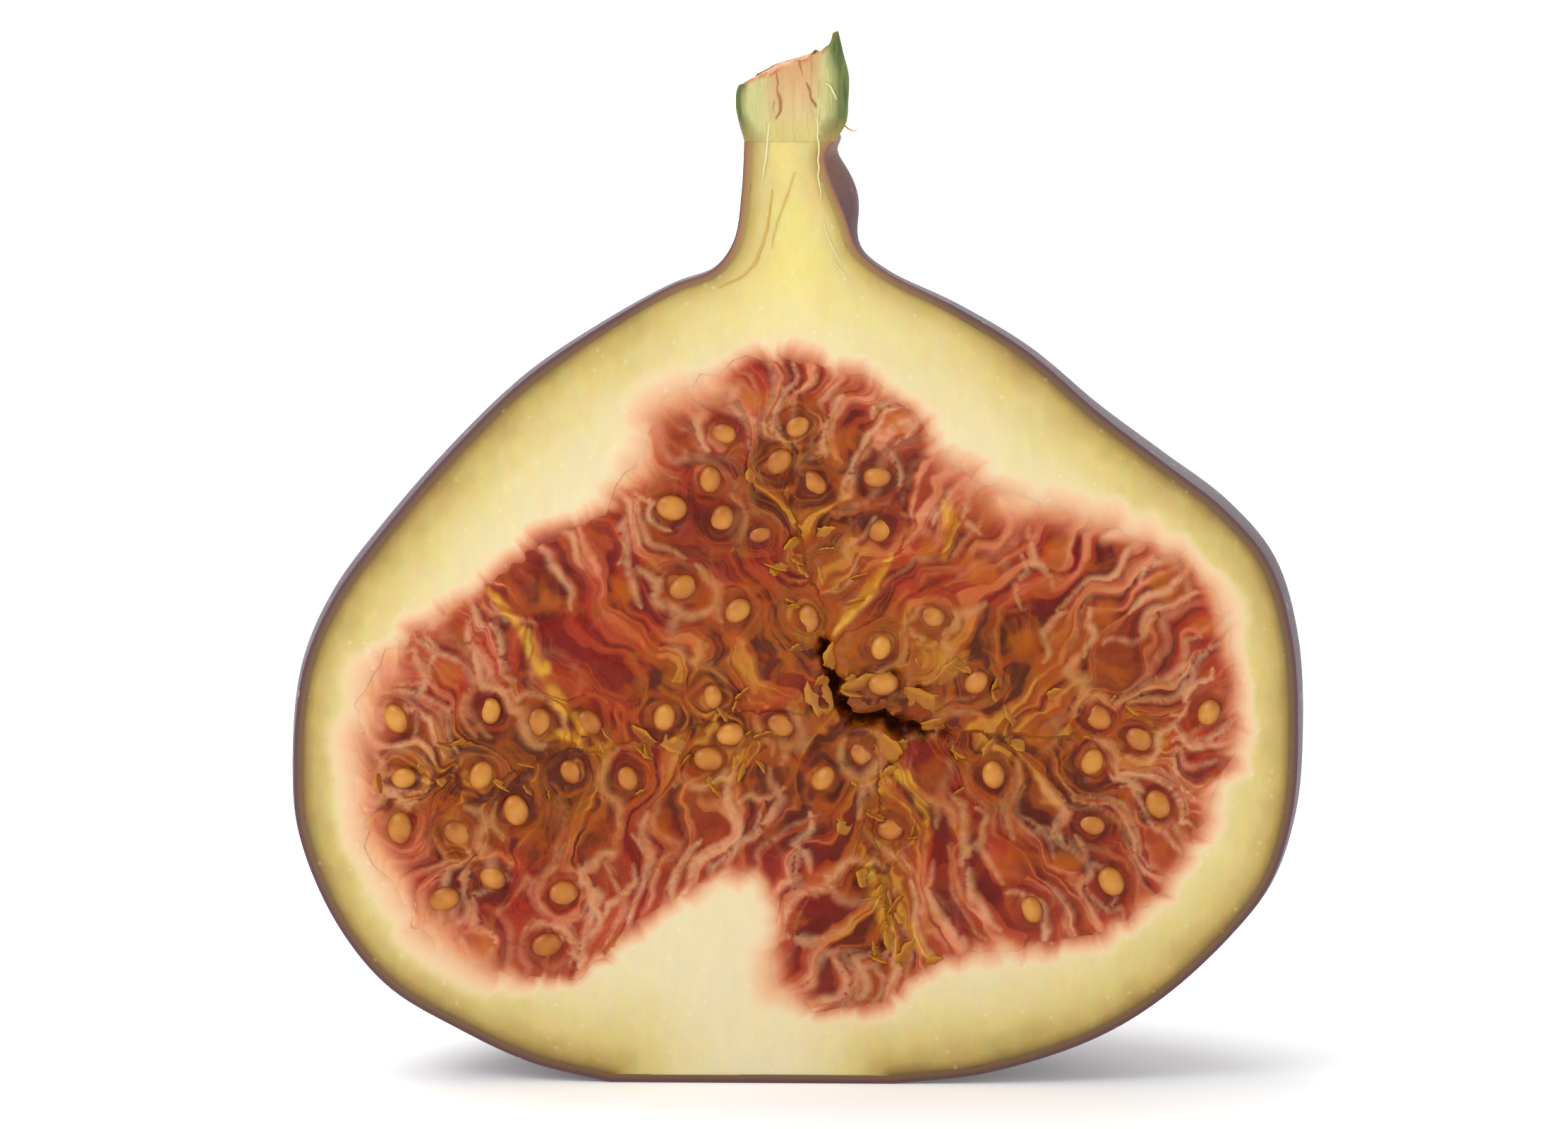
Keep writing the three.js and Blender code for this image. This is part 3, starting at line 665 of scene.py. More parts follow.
def fig_pulp():
    """Cut fig pulp, wet and translucent: soft bands of pink, red and brown along the florets, orange brown
    inside."""
    material, add, shader, mm = new_material("fig_pulp")
    names = "depth", "hollow_gap", "border_gap", "floret_gap", "seed_gap", "level", "thread", "golden", "buried"
    depth, hollow_gap, border_gap, floret_gap, seed_gap, level, thread, golden, buried = (
        add("Attribute", attribute_name=name, out="Fac") for name in names
    )
    cloud, patch, juice, fine, tangle = (
        add("TexNoise", {"Vector": mm, "Scale": scale, "Detail": 3.0, "Roughness": 0.55, "Distortion": twist})
        for scale, twist in ((0.42, 0.0), (0.16, 0.0), (0.38, 1.0), (3.0, 0.0), (0.85, 1.2))
    )
    # The tissue is banded along the florets, and in rings round the middle of each.
    streaks = add_streaks(add, mm, 0.5, 11.0)
    threads = add_streaks(add, mm, 0.25, 5.0)
    drift = add("VectorMath", {0: mm, 1: (0.4, 0.4, 0.4)}, operation="MULTIPLY")
    around = add("VectorMath", {0: floret_gap, 1: (2.6, 0.0, 0.0), 2: drift}, operation="MULTIPLY_ADD")
    rings = add("TexNoise", {"Vector": around, "Scale": 0.85, "Detail": 1.5, "Distortion": 0.4})
    away = add("MapRange", {"Value": seed_gap, "From Min": 1.0, "From Max": 2.2, "To Min": 0.25})
    outer = add("MapRange", {"Value": depth, "From Min": 4.0, "From Max": 1.5})
    away = add("Math", {0: away, 1: outer}, operation="MAXIMUM")
    grain = add("Mix", {0: away, 2: rings, 3: streaks})
    grain = add("Mix", {0: 0.2, 2: grain, 3: threads})

    # Three tones from the border inwards: the gaps between the bands, the bands and their lit ridges
    spread = add(
        "MapRange", {"Value": cloud, "From Min": 0.25, "From Max": 0.75, "To Min": -1.8, "To Max": 1.8}
    )
    inward = add("MapRange", {"Value": add("Math", {0: spread, 1: depth}), "From Max": 10.0})
    ragged = add("Math", {0: spread, 1: 0.9, 2: hollow_gap}, operation="MULTIPLY_ADD")
    near = add(
        "MapRange", {"Value": ragged, "From Min": 5.5, "From Max": 1.0, "To Max": 0.9},
        interpolation_type="SMOOTHSTEP",
    )
    red = add("MapRange", {"Value": patch, "From Min": 0.48, "From Max": 0.64, "To Max": 0.6})
    tones = []
    for stops, at_hollow, reddish in (
        (((0.1, "#82281a"), (0.3, "#5c160c"), (0.65, "#501606"), (1.0, "#4e1c04")), "#541c04", "#84100a"),
        (((0.1, "#a24024"), (0.35, "#882a12"), (0.7, "#84300c"), (1.0, "#8a4009")), "#8e4608", "#a42c16"),
        (((0.1, "#d0805c"), (0.35, "#bc6a44"), (0.65, "#b05e2e"), (1.0, "#ae6820")), "#b87c24", "#b4502e"),
    ):
        tone = add("ValToRGB", {"Fac": inward}, stops)
        for share, shade in ((near, at_hollow), (red, reddish)):
            tone = add("Mix", {0: share, 6: tone, 7: shade}, data_type="RGBA")
        tones.append(tone)

    # Over the tones: orange juice, seeds that show through from below, a darker brown ring round those on top,
    # the pale threads, the yellow bands and painted shade where the cut sinks deep, mostly in the cleft
    pale = add(
        "ValToRGB", {"Fac": inward}, [(0.0, "#deaa82"), (0.15, "#d29a70"), (0.5, "#c48a5c"), (1.0, "#b47a42")]
    )
    gold = add("ValToRGB", {"Fac": threads}, [(0.36, "#9c560a"), (0.48, "#bc7c10"), (0.64, "#d6a43c")])
    worn = add("MapRange", {"Value": tangle, "From Min": 0.2, "From Max": 0.65, "To Min": 0.45})
    broken = add("Math", {0: thread, 1: worn}, operation="MULTIPLY")
    tissue = tones[0]
    for value, low, high, most, shade in (
        (grain, 0.41, 0.52, 1.0, tones[1]),
        (grain, 0.52, 0.63, 1.0, tones[2]),
        (juice, 0.5, 0.66, 0.65, "#9a4406"),
        (buried, 0.0, 1.0, 0.6, "#b05a10"),
        # A darker brown ring round the seeds on top
        (seed_gap, 1.3, 0.7, 0.35, "#6a220c"),
        (broken, 0.05, 0.95, 0.8, pale),
        (golden, 0.15, 0.9, 0.8, gold),
        # Painted shade: darker brown where the cut lies deepest, in the cleft
        (level, 0.45, 1.6, 0.9, "#4c1a08"),
    ):
        share = add(
            "MapRange", {"Value": value, "From Min": low, "From Max": high, "To Max": most},
            interpolation_type="SMOOTHSTEP",
        )
        tissue = add("Mix", {0: share, 6: tissue, 7: shade}, data_type="RGBA")
    pink, signed = add_stain(add, mm, add("Math", {0: border_gap, 1: -1.0}, operation="MULTIPLY"))
    settled_in = add(
        "MapRange", {"Value": signed, "From Min": -0.5, "From Max": STAIN_INSIDE},
        interpolation_type="SMOOTHSTEP",
    )
    tissue = add("Mix", {0: settled_in, 6: pink, 7: tissue}, data_type="RGBA")
    speckle = add("TexNoise", {"Vector": mm, "Scale": 1.5, "Detail": 4.0}, out="Color")
    tissue = add("Mix", {0: 0.3, 6: tissue, 7: speckle}, data_type="RGBA", blend_type="SOFT_LIGHT")
    rough = add(
        "MapRange", {"Value": tangle, "From Min": 0.3, "From Max": 0.7, "To Min": 0.22, "To Max": 0.5}
    )
    height = add("Math", {0: fine, 1: 0.3, 2: grain}, operation="MULTIPLY_ADD")
    bump = add("Bump", {"Height": height, "Distance": 0.0004, "Strength": 0.6})
    set_inputs(shader, {
        "Base Color": tissue, "Roughness": rough, "Normal": bump,
        "Specular IOR Level": 0.2, "Subsurface Weight": 0.15, "Subsurface Radius": (1.0, 0.35, 0.18),
        "Subsurface Scale": 0.0006, "Coat Weight": 0.06, "Coat Roughness": 0.15, "IOR": 1.38,
    })
    return material


draw = np.random.default_rng(FLORET_RANDOM)
tries = scattered(*PULP_FIELD, 1.1, seed=12)
draw.shuffle(tries)
tries = tries[is_inside(tries, border)]
tries = tries[nearest(tries, border)[1] > 1.3]
FLORETS = list(SEEDS)
for place in tries:
    if np.linalg.norm(np.array(FLORETS) - place, axis=1).min() > FLORET_SPACING:
        FLORETS.append(place)
FLORETS = np.array(FLORETS)
FLORET_PUSH = np.where(np.arange(len(FLORETS)) < len(SEEDS), 1.5, draw.uniform(0.3, 1.3, len(FLORETS)))
BURIED = np.where(np.arange(len(FLORETS)) < len(SEEDS), 0.0, draw.uniform(-0.4, 1.2, len(FLORETS)))

# The florets' own grid, by the run round the border and the depth below it
inwards = np.linspace(0, 1, PULP_ROWS)[:, None]
face = pulp_place(shares[None, :], inwards)
floret_length = np.linalg.norm(face[-1] - face[0], axis=1)
grid_depth = (inwards * floret_length[None, :]).ravel()
flat = settle(face.reshape(-1, 2), grid_depth)

# The cut face, evenly filled with points that read their place from that grid
rim = border[:: PULP_COLUMNS // BOWL_COLUMNS]
field = scattered(*PULP_FIELD, PULP_SPACING, seed=13)
field = field[is_inside(field, border)]
field = field[nearest(field, rim)[1] > 0.1]
front, front_faces = filled_outline([rim], field)
number, _ = nearest(front, flat)
row, column = np.divmod(number, PULP_COLUMNS)
settled = flat.reshape(PULP_ROWS, PULP_COLUMNS, 2)
right, left = settled[row, (column + 1) % PULP_COLUMNS], settled[row, column - 1]
lower, upper = settled[np.minimum(row + 1, PULP_ROWS - 1), column], settled[np.maximum(row - 1, 0), column]
across, down = right - left, lower - upper
area = across[:, 0] * down[:, 1] - across[:, 1] * down[:, 0]
area = np.where(np.abs(area) < 1e-4, np.inf, area)
off = front - settled[row, column]
step_across = np.clip((off[:, 0] * down[:, 1] - off[:, 1] * down[:, 0]) / area, -0.5, 0.5)
step_down = np.clip((across[:, 0] * off[:, 1] - across[:, 1] * off[:, 0]) / area, -0.5, 0.5)
run = border_run[column] + step_across * 2 * border_run[-1] / PULP_COLUMNS
depth = grid_depth[number] + step_down * 2 * floret_length[column] / (PULP_ROWS - 1)
depth = np.where(depth < 0, 0, depth)
inward = np.clip(depth / floret_length[column], 0, 1)
paths = thread_paths()
path_points = np.vstack([place for place, _, _ in paths])
path_width = np.concatenate([
    width * np.sin(math.pi * np.linspace(0.06, 0.94, len(place))) ** 0.5 for place, width, _ in paths
])
path_pale = np.concatenate([np.full(len(place), pale) for place, _, pale in paths])
path_number, path_gap = nearest(front, path_points)
thread = np.exp(-((path_gap / path_width[path_number]) ** 2)) * path_pale[path_number]
bands = np.vstack([smooth_curve(band, np.linspace(0, 1, BAND_POINTS)) for band in GOLDEN_BANDS])
taper = np.tile(0.5 * np.sin(math.pi * np.linspace(0.05, 0.95, BAND_POINTS)) ** 0.7, len(GOLDEN_BANDS))
x, z = front.T
band_number, band_gap = nearest(front + 0.12 * soft_noise(x / 0.4, z / 0.4, 36)[:, None], bands)
golden = np.exp(-((band_gap / taper[band_number]) ** 2)) * (0.75 + 0.35 * soft_noise(x / 0.7, z / 0.7, 39))
_, seed_gap = nearest(front, SEEDS)
floret_number, floret_gap = nearest(front + 0.3 * wander(front, 0.8, 37), FLORETS)
buried = np.clip(BURIED[floret_number], 0, 1) * np.clip(1.6 - floret_gap / 0.6, 0, 1)
hollow_gap = floret_length[column] - depth
soft = np.clip((depth - 0.6) / 1.0, 0, 1)
late = 0.35 + 0.35 * soft_noise(run / 0.45, depth / 2.5, 34)
level = BORDER_SINK - PULP_RISE * np.clip((depth - late) / 0.7, 0, 1) ** 0.7 + HOLLOW_SINK * inward**4
level += soft * (0.2 * soft_noise(x / 1.3, z / 1.3, 31) + 0.12 * soft_noise(x / 0.45, z / 0.45, 33) * inward)
level += (
    soft * 0.08 * np.exp(-(((seed_gap - 0.85) / 0.25) ** 2))
    - soft * 0.1 * np.exp(-((floret_gap / 0.9) ** 2))
)
level -= soft * (0.12 * thread + 0.16 * golden)
cleft_gap, cleft_half = along_line(front, CLEFT)
cleft_gap += 0.3 * soft_noise(x / 0.55, z / 0.55, 32) + 0.12 * soft_noise(x / 0.2, z / 0.2, 35)
level += CLEFT_DEPTH / (1 + np.exp((cleft_gap - cleft_half) / 0.1))
level[: len(rim)] = BORDER_SINK
turns = np.linspace(0, math.pi / 2, BOWL_RINGS + 2)[1:-1]
reach = rim - PULP_MIDDLE
bowl = np.concatenate([
    np.column_stack([
        PULP_MIDDLE[0] + reach[:, 0] * math.cos(turn), np.full(BOWL_COLUMNS, PULP_DEPTH * math.sin(turn)),
        PULP_MIDDLE[1] + reach[:, 1] * math.cos(turn),
    ])
    for turn in turns
])
start = len(front)
last = start + (BOWL_RINGS - 1) * BOWL_COLUMNS
points = np.vstack([np.column_stack([x, level, z]), bowl, [(PULP_MIDDLE[0], PULP_DEPTH, PULP_MIDDLE[1])]])
faces = front_faces + grid_faces(BOWL_RINGS, BOWL_COLUMNS, start=start, closed=True)
for i in range(BOWL_COLUMNS):
    k = (i + 1) % BOWL_COLUMNS
    faces.append([i, k, start + k, start + i])
    faces.append([last + i, last + k, len(points) - 1])
pulp = new_piece("pulp_florets", points, faces, sharp_degrees=180)
set_values(pulp, "seed_gap", seed_gap, rest=5)
for name, values in (
    ("depth", depth), ("hollow_gap", hollow_gap), ("floret_gap", floret_gap),
    ("border_gap", nearest(front, border)[1]), ("level", level), ("thread", thread), ("golden", golden),
    ("buried", buried),
):
    set_values(pulp, name, values)
set_flow(pulp, run, depth)
pulp.data.materials.append(fig_pulp())
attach(pulp, "root")
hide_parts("pulp")


# The seeds
# Small hard seeds, one in each floret, tan to amber and glossy with juice. The knife slid past them, so they
# stand a little proud of the cut, each in its own pocket.
SEED_RADII = (0.76, 0.36, 0.61)
SEED_BALL = 0.001  # the plain seed's radius in metres, before it is shaped
SEED_RANDOM = 61


def new_tree(name, kinds):
    """A tree with a geometry in and out and inputs of the given kinds, what adds nodes to it, and its entry."""
    tree = bpy.data.node_groups.new(name, "GeometryNodeTree")
    for side, sockets in (("INPUT", {"Geometry": "Geometry", **kinds}), ("OUTPUT", {"Geometry": "Geometry"})):
        for socket, kind in sockets.items():
            tree.interface.new_socket(socket, in_out=side, socket_type="NodeSocket" + kind)
    add = partial(add_node, tree)
    return tree, add, add("NodeGroupInput").node.outputs


def end_tree(add, made, material):
    """Ends a tree with real geometry in a material."""
    real = add("GeometryNodeRealizeInstances", {"Geometry": made})
    coated = add("GeometryNodeSetMaterial", {"Geometry": real, "Material": material})
    add("NodeGroupOutput", {"Geometry": coated})


def seed_tree(material):
    """Instances of one seed shape on points, turned and sized by the points' own attributes."""
    tree, add, entry = new_tree("seeds", {"Radius": "Float", "Shape": "Vector"})
    ball = add("GeometryNodeMeshIcoSphere", {"Radius": entry["Radius"], "Subdivisions": 4})
    there = add("GeometryNodeInputPosition")
    local = add("VectorMath", {0: there, 1: entry["Radius"]}, operation="DIVIDE")
    kept = add(
        "GeometryNodeStoreNamedAttribute", {"Geometry": ball, "Name": "local", "Value": local},
        data_type="FLOAT_VECTOR",
    )
    turn = add("GeometryNodeInputNamedAttribute", {"Name": "turn"}, data_type="FLOAT_VECTOR")
    size = add("GeometryNodeInputNamedAttribute", {"Name": "size"}, data_type="FLOAT")
    scale = add("VectorMath", {0: entry["Shape"], "Scale": size}, operation="SCALE")
    placed = add(
        "GeometryNodeInstanceOnPoints",
        {"Points": entry["Geometry"], "Instance": kept, "Rotation": turn, "Scale": scale},
    )
    end_tree(add, placed, material)
    return tree


def bake_tree(name, points, attributes, tree, inputs, edges=()):
    """Runs a tree on points with attributes and gives the result as a plain piece."""
    mesh = bpy.data.meshes.new(name)
    mesh.from_pydata(((np.asarray(points) + FIG_ORIGIN) / 1000).tolist(), edges, [])
    for key, values in attributes.items():
        values = np.asarray(values, np.float32)
        kind, field = ("FLOAT_VECTOR", "vector") if values.ndim == 2 else ("FLOAT", "value")
        mesh.attributes.new(key, kind, "POINT").data.foreach_set(field, values.ravel())
    holder = new_object(name + "_points", mesh)
    modifier = holder.modifiers.new("nodes", "NODES")
    modifier.node_group = tree
    for socket in tree.interface.items_tree:
        if socket.name in inputs:
            modifier[socket.identifier] = inputs[socket.name]
    made = bpy.data.meshes.new_from_object(holder.evaluated_get(bpy.context.evaluated_depsgraph_get()))
    made.shade_smooth()
    bpy.data.objects.remove(holder)
    return new_object(name, made)


def fig_seed():
    """Fig seeds: hard and smooth, tan to amber, with painted shade darker towards their sides and back, and
    browner where juice covers them.
    """
    material, add, shader, mm = new_material("fig_seed")
    local = add("Attribute", attribute_name="local", out="Vector")
    tint = add("Attribute", attribute_name="tint", out="Fac")
    # Painted shade: each seed is paler at its front, towards the cut face, and darker towards its sides and back
    front = add("SeparateXYZ", {0: local}, out="Y")
    mottle = add("TexNoise", {"Vector": mm, "Scale": 1.3, "Detail": 3.0})
    mottle_and_painted_shade = add("Math", {0: mottle, 1: 1.3, 2: front}, operation="MULTIPLY_ADD")
    share = add("MapRange", {"Value": mottle_and_painted_shade, "From Min": -0.5, "From Max": 0.75})
    tan, amber = (
        add("ValToRGB", {"Fac": share}, list(zip((0.0, 0.35, 0.65, 1.0), shades)))
        for shades in (
            ("#c68a34", "#ba7726", "#a55f1a", "#84420f"), ("#b87020", "#a45a16", "#904410", "#702c0c"),
        )
    )
    set_inputs(shader, {
        "Base Color": add("Mix", {0: tint, 6: amber, 7: tan}, data_type="RGBA"), "Roughness": 0.32,
        "Specular IOR Level": 0.35, "Subsurface Weight": 0.3, "Subsurface Scale": 0.0005,
    })
    return material


draw = np.random.default_rng(SEED_RANDOM)
ground = level[nearest(SEEDS, front)[0]]
sunk = draw.uniform(0.0, 0.18, len(SEEDS))
points = np.column_stack([SEEDS[:, 0], np.minimum(ground, 0.5) + sunk, SEEDS[:, 1]])
turn = np.column_stack([
    draw.uniform(-0.3, 0.3, len(SEEDS)), draw.uniform(0, math.pi, len(SEEDS)),
    draw.uniform(-0.3, 0.3, len(SEEDS)),
])
tint = np.clip(1.15 - sunk * 5 + draw.uniform(-0.3, 0.3, len(SEEDS)), 0, 1)
size = draw.uniform(0.84, 1.1, len(SEEDS))
seeds = bake_tree(
    "seeds", points, {"turn": turn, "size": size, "tint": tint}, seed_tree(fig_seed()),
    {"Radius": SEED_BALL, "Shape": SEED_RADII},
)
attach(seeds, "root")


# The scraps
# Thin torn lips of the florets that stand up round the hollow, like bits of wet paper: ochre to brown, with
# painted light in bright yellow along their raised edges. The largest lie beside the cleft and in the lowest
# lobe.
SCRAP_THICK = 0.05
SCRAP_COUNT = 70
SCRAP_RANDOM = 81
SCRAP_ROWS = 7
SCRAP_COLUMNS = 6

# The largest scraps, as (x, z) of the middle, length, width and turn.
LARGE_SCRAPS = [
    (3.9, 20.4, 2.6, 2.0, 0.3), (6.4, 19.8, 2.1, 1.7, -0.4), (1.9, 22.3, 1.3, 0.9, 1.2),
    (0.5, 26.9, 1.1, 0.7, 2.4), (1.2, 20.2, 1.9, 1.3, 1.9), (-8.0, 18.0, 1.5, 0.8, -0.6),
    (7.9, 21.6, 1.6, 0.7, 0.8), (5.9, 6.9, 1.6, 1.0, 0.9), (7.0, 6.2, 1.4, 0.9, 0.2),
    (5.0, 7.5, 1.3, 0.8, 1.8), (4.6, 17.6, 1.7, 1.2, -0.7), (-6.3, 17.7, 1.2, 0.9, 2.7),
]


def scrap_shape(draw, x, z, ground, length, width, turn):
    """A curled sheet with a ragged outline, as the points of its front and back."""
    rows, columns = (np.linspace(-0.5, 0.5, count) for count in (SCRAP_ROWS, SCRAP_COLUMNS))
    along, across = np.meshgrid(rows, columns, indexing="ij")
    u = along * length * (1 + 0.12 * draw.uniform(-1, 1, along.shape) * (np.abs(along) == 0.5))
    v = across * width * (1 - 1.2 * along**2) * (1 + 0.2 * draw.uniform(-1, 1, along.shape) * (across == 0.5))
    rise = draw.uniform(0.25, 0.45)
    lift = rise * (across + 0.5) ** 1.5 * (1 - 2 * along**2) - 0.1 + 0.03 * draw.uniform(-1, 1, along.shape)
    y = np.minimum(ground, 0.35) - lift
    cos, sin = math.cos(turn), math.sin(turn)
    front = np.stack([x + u * cos - v * sin, y, z + u * sin + v * cos], axis=2)
    return front.reshape(-1, 3), (front + (0, SCRAP_THICK, 0)).reshape(-1, 3), (across + 0.5).ravel()


def fig_scrap():
    """Torn floret lips: thin wet tissue, ochre and brown, with painted light in brighter yellow along the raised
    edge.
    """
    material, add, shader, mm = new_material("fig_scrap")
    edge, tint = (add("Attribute", attribute_name=name, out="Fac") for name in ("edge", "tint"))
    mottle = add("TexNoise", {"Vector": mm, "Scale": 1.2, "Detail": 4.0, "Roughness": 0.6})
    mixed = add("Math", {0: mottle, 1: 0.9, 2: tint}, operation="MULTIPLY_ADD")
    share = add("MapRange", {"Value": mixed, "From Min": 0.2, "From Max": 1.3})
    body = add(
        "ValToRGB", {"Fac": share},
        [(0.0, "#6a2a0a"), (0.35, "#8c440c"), (0.6, "#9e5a12"), (0.85, "#a86a16"), (1.0, "#a4642a")],
    )
    # Painted light: the raised edge of each scrap is brighter yellow
    rim = add("MapRange", {"Value": edge, "From Min": 0.72, "From Max": 1.0, "To Max": 0.8})
    set_inputs(shader, {
        "Base Color": add("Mix", {0: rim, 6: body, 7: "#c4861a"}, data_type="RGBA"), "Roughness": 0.4,
        "Specular IOR Level": 0.25, "Subsurface Weight": 0.3, "Subsurface Radius": (1.0, 0.5, 0.2),
        "Subsurface Scale": 0.0004,
        "Normal": add("Bump", {"Height": mottle, "Distance": 0.0003, "Strength": 0.7}),
    })
    return material


draw = np.random.default_rng(SCRAP_RANDOM)
spots = np.flatnonzero((hollow_gap < 2.6) & (seed_gap > 1.0) & (depth > 2.5))
chosen = draw.choice(spots, SCRAP_COUNT, replace=False)
small = [(*front[i], draw.uniform(0.5, 1.3), draw.uniform(0.3, 0.75), draw.uniform(0, math.pi)) for i in chosen]
size = SCRAP_ROWS * SCRAP_COLUMNS
sheet = grid_faces(SCRAP_ROWS, SCRAP_COLUMNS)
rim = [
    *range(SCRAP_COLUMNS), *range(2 * SCRAP_COLUMNS - 1, size, SCRAP_COLUMNS),
    *range(size - 2, size - SCRAP_COLUMNS - 1, -1), *range(size - 2 * SCRAP_COLUMNS, 0, -SCRAP_COLUMNS),
]
points, faces, edge, tint = [], [], [], []
every = np.array(LARGE_SCRAPS + small)
grounds = level[nearest(every[:, :2], front)[0]]
for (x, z, length, width, turn), ground in zip(every, grounds):
    start = len(points)
    top, bottom, outer = scrap_shape(draw, x, z, ground, length, width, turn)
    points += [*top, *bottom]
    edge += [*outer, *outer]
    tint += [draw.uniform(0, 0.8)] * (2 * size)
    faces += [[start + i for i in face] for face in sheet] + [[start + size + i for i in face] for face in sheet]
    faces += [[start + a, start + b, start + size + b, start + size + a] for a, b in zip(rim, rim[1:] + rim[:1])]
scraps = new_piece("floret_scraps", points, faces, sharp_degrees=180)
set_values(scraps, "edge", edge)
set_values(scraps, "tint", tint)
scraps.data.materials.append(fig_scrap())
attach(scraps, "root")


# The fibres
# Tough strands that carry sap from the stalk down into the wall, cut open by the knife: brown in the dry
# stalk, cream and yellow in the neck. One dry hair of a scale curls out at the right.
FIBRE_LIFT = 0.02
FIBRE_SIDES = 8
FIBRE_RADIUS = 0.0006  # in metres, for a thickness of 1
FIBRE_RANDOM = 92

# Each fibre's places as (x, z), its thickness and its tint: 0 brown, 0.5 yellow, 1 cream.
FIBRES = [
    ([(-1.05, 52.5), (-0.93, 51.55), (-0.81, 50.7), (-1.1, 50.1)], 0.13, 0.0),
    ([(-1.2, 52.4), (-1.05, 51.5), (-1.2, 50.7), (-1.3, 50.3)], 0.08, 0.1),
    ([(0.19, 53.1), (0.37, 52.26), (0.72, 51.43), (0.96, 50.7)], 0.14, 0.0),
    ([(0.43, 53.2), (0.62, 51.9), (1.0, 50.84)], 0.09, 0.15),
    ([(-1.4, 50.5), (-1.4, 49.3), (-1.56, 48.0), (-1.7, 46.9)], 0.09, 1.0),
    ([(1.14, 51.1), (1.08, 49.8), (1.14, 48.4), (1.16, 47.2), (1.29, 45.9)], 0.08, 1.0),
    ([(1.37, 45.05), (1.79, 43.75), (2.32, 42.8)], 0.08, 0.9),
    ([(1.9, 42.9), (2.32, 42.33), (2.91, 41.5)], 0.07, 0.9),
    ([(1.43, 52.0), (1.85, 51.7), (2.1, 51.1)], 0.1, 1.0),
    ([(-1.23, 46.5), (-1.46, 44.8), (-1.82, 43.4), (-2.53, 42.2), (-3.95, 41.4)], 0.1, 0.5),
    ([(-0.1, 47.4), (-0.52, 46.0), (-0.99, 44.8), (-1.3, 43.4)], 0.08, 0.6),
]


def fibre_tree(material):
    """A round thread along each run of loose edges, as thick as the points' own attribute says."""
    tree, add, entry = new_tree("fibres", {"Sides": "Int", "Thickness": "Float"})
    curves = add("GeometryNodeMeshToCurve", {"Mesh": entry["Geometry"]})
    thick = add("GeometryNodeInputNamedAttribute", {"Name": "thick"}, data_type="FLOAT")
    sized = add("GeometryNodeSetCurveRadius", {"Curve": curves, "Radius": thick})
    profile = add(
        "GeometryNodeCurvePrimitiveCircle", {"Resolution": entry["Sides"], "Radius": entry["Thickness"]},
        mode="RADIUS",
    )
    swept = add(
        "GeometryNodeCurveToMesh", {"Curve": sized, "Profile Curve": profile, "Scale": thick, "Fill Caps": True}
    )
    end_tree(add, swept, material)
    return tree


def fig_fibre():
    """Plant fibre in bundles, from dry and brown to moist and cream, with a silky gloss."""
    material, add, shader, mm = new_material("fig_fibre")
    tint = add("Attribute", attribute_name="tint", out="Fac")
    shade = add(
        "ValToRGB", {"Fac": tint}, [(0.0, "#a8703e"), (0.3, "#b98a44"), (0.5, "#c9a040"), (1.0, "#e4d4a2")]
    )
    mottle = add("TexNoise", {"Vector": mm, "Scale": 2.0, "Detail": 3.0}, out="Color")
    set_inputs(shader, {
        "Base Color": add("Mix", {0: 0.4, 6: shade, 7: mottle}, data_type="RGBA", blend_type="SOFT_LIGHT"),
        "Roughness": 0.38, "Subsurface Weight": 0.3, "Subsurface Scale": 0.0004,
    })
    return material


points, edges, thick, tint = [], [], [], []


def add_fibre(places, widths, shade):
    """Adds one fibre's points and edges to the lists."""
    edges.extend((i, i + 1) for i in range(len(points), len(points) + len(places) - 1))
    points.extend(places)
    thick.extend(widths)
    tint.extend([shade] * len(places))


for run_points, width, shade in FIBRES:
    share = np.linspace(0, 1, 10 * len(run_points))
    line = smooth_curve(run_points, share)
    line[:, 0] += 0.06 * soft_noise(line[:, 1] / 0.4, line[:, 0], FIBRE_RANDOM)
    widths = width * np.sin(math.pi * (0.04 + 0.92 * share)) ** 0.5
    add_fibre([(x, -FIBRE_LIFT, z) for x, z in line], widths, shade)
share = np.linspace(0, 1, 24)
hair = smooth_curve([(2.2, 50.0), (2.56, 49.66), (2.91, 49.48), (3.12, 49.56), (3.02, 49.68)], share)
add_fibre([(x, 0.5 - 0.3 * s, z) for (x, z), s in zip(hair, share)], 0.09 * (1.1 - share), 0.35)
fibres = bake_tree(
    "stalk_fibres", points, {"thick": thick, "tint": tint}, fibre_tree(fig_fibre()),
    {"Sides": FIBRE_SIDES, "Thickness": FIBRE_RADIUS}, edges,
)
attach(fibres, "root")


# The stalk
# The stub of the stalk, torn off its twig: green outside, fibrous and moist inside, and dried to orange brown
# at the torn end. A pointed shred stands up at the right.
STALK_ROOT = 48.95
STALK_ROWS = 60
STALK_COLUMNS = 60
STALK_FIELD = ((-4, 49), (4, 55))
STALK_SPACING = 0.16
STALK_RIGHT = [(2.0, STALK_ROOT), (2.55, 49.9), (2.66, 51.0), (2.68, 52.3), (2.4, 53.5), (2.16, 54.65)]
STALK_LEFT = [(-2.65, STALK_ROOT), (-2.92, 49.9), (-3.08, 50.7), (-3.08, 51.2), (-3.06, 51.5), (-2.95, 51.85)]
STALK_TEAR = [
    (-2.8, 51.95), (-1.82, 52.32), (-0.76, 52.7), (0.0, 53.15), (0.55, 53.3), (0.9, 53.6), (1.25, 53.65),
    (1.7, 54.0), (1.8, 54.2), (1.88, 54.55),
]
STALK_BACK = [(3.4, STALK_ROOT), (3.3, 50.1), (3.4, 51.1), (3.35, 52.0), (3.2, 52.7), (3.0, 53.3)]


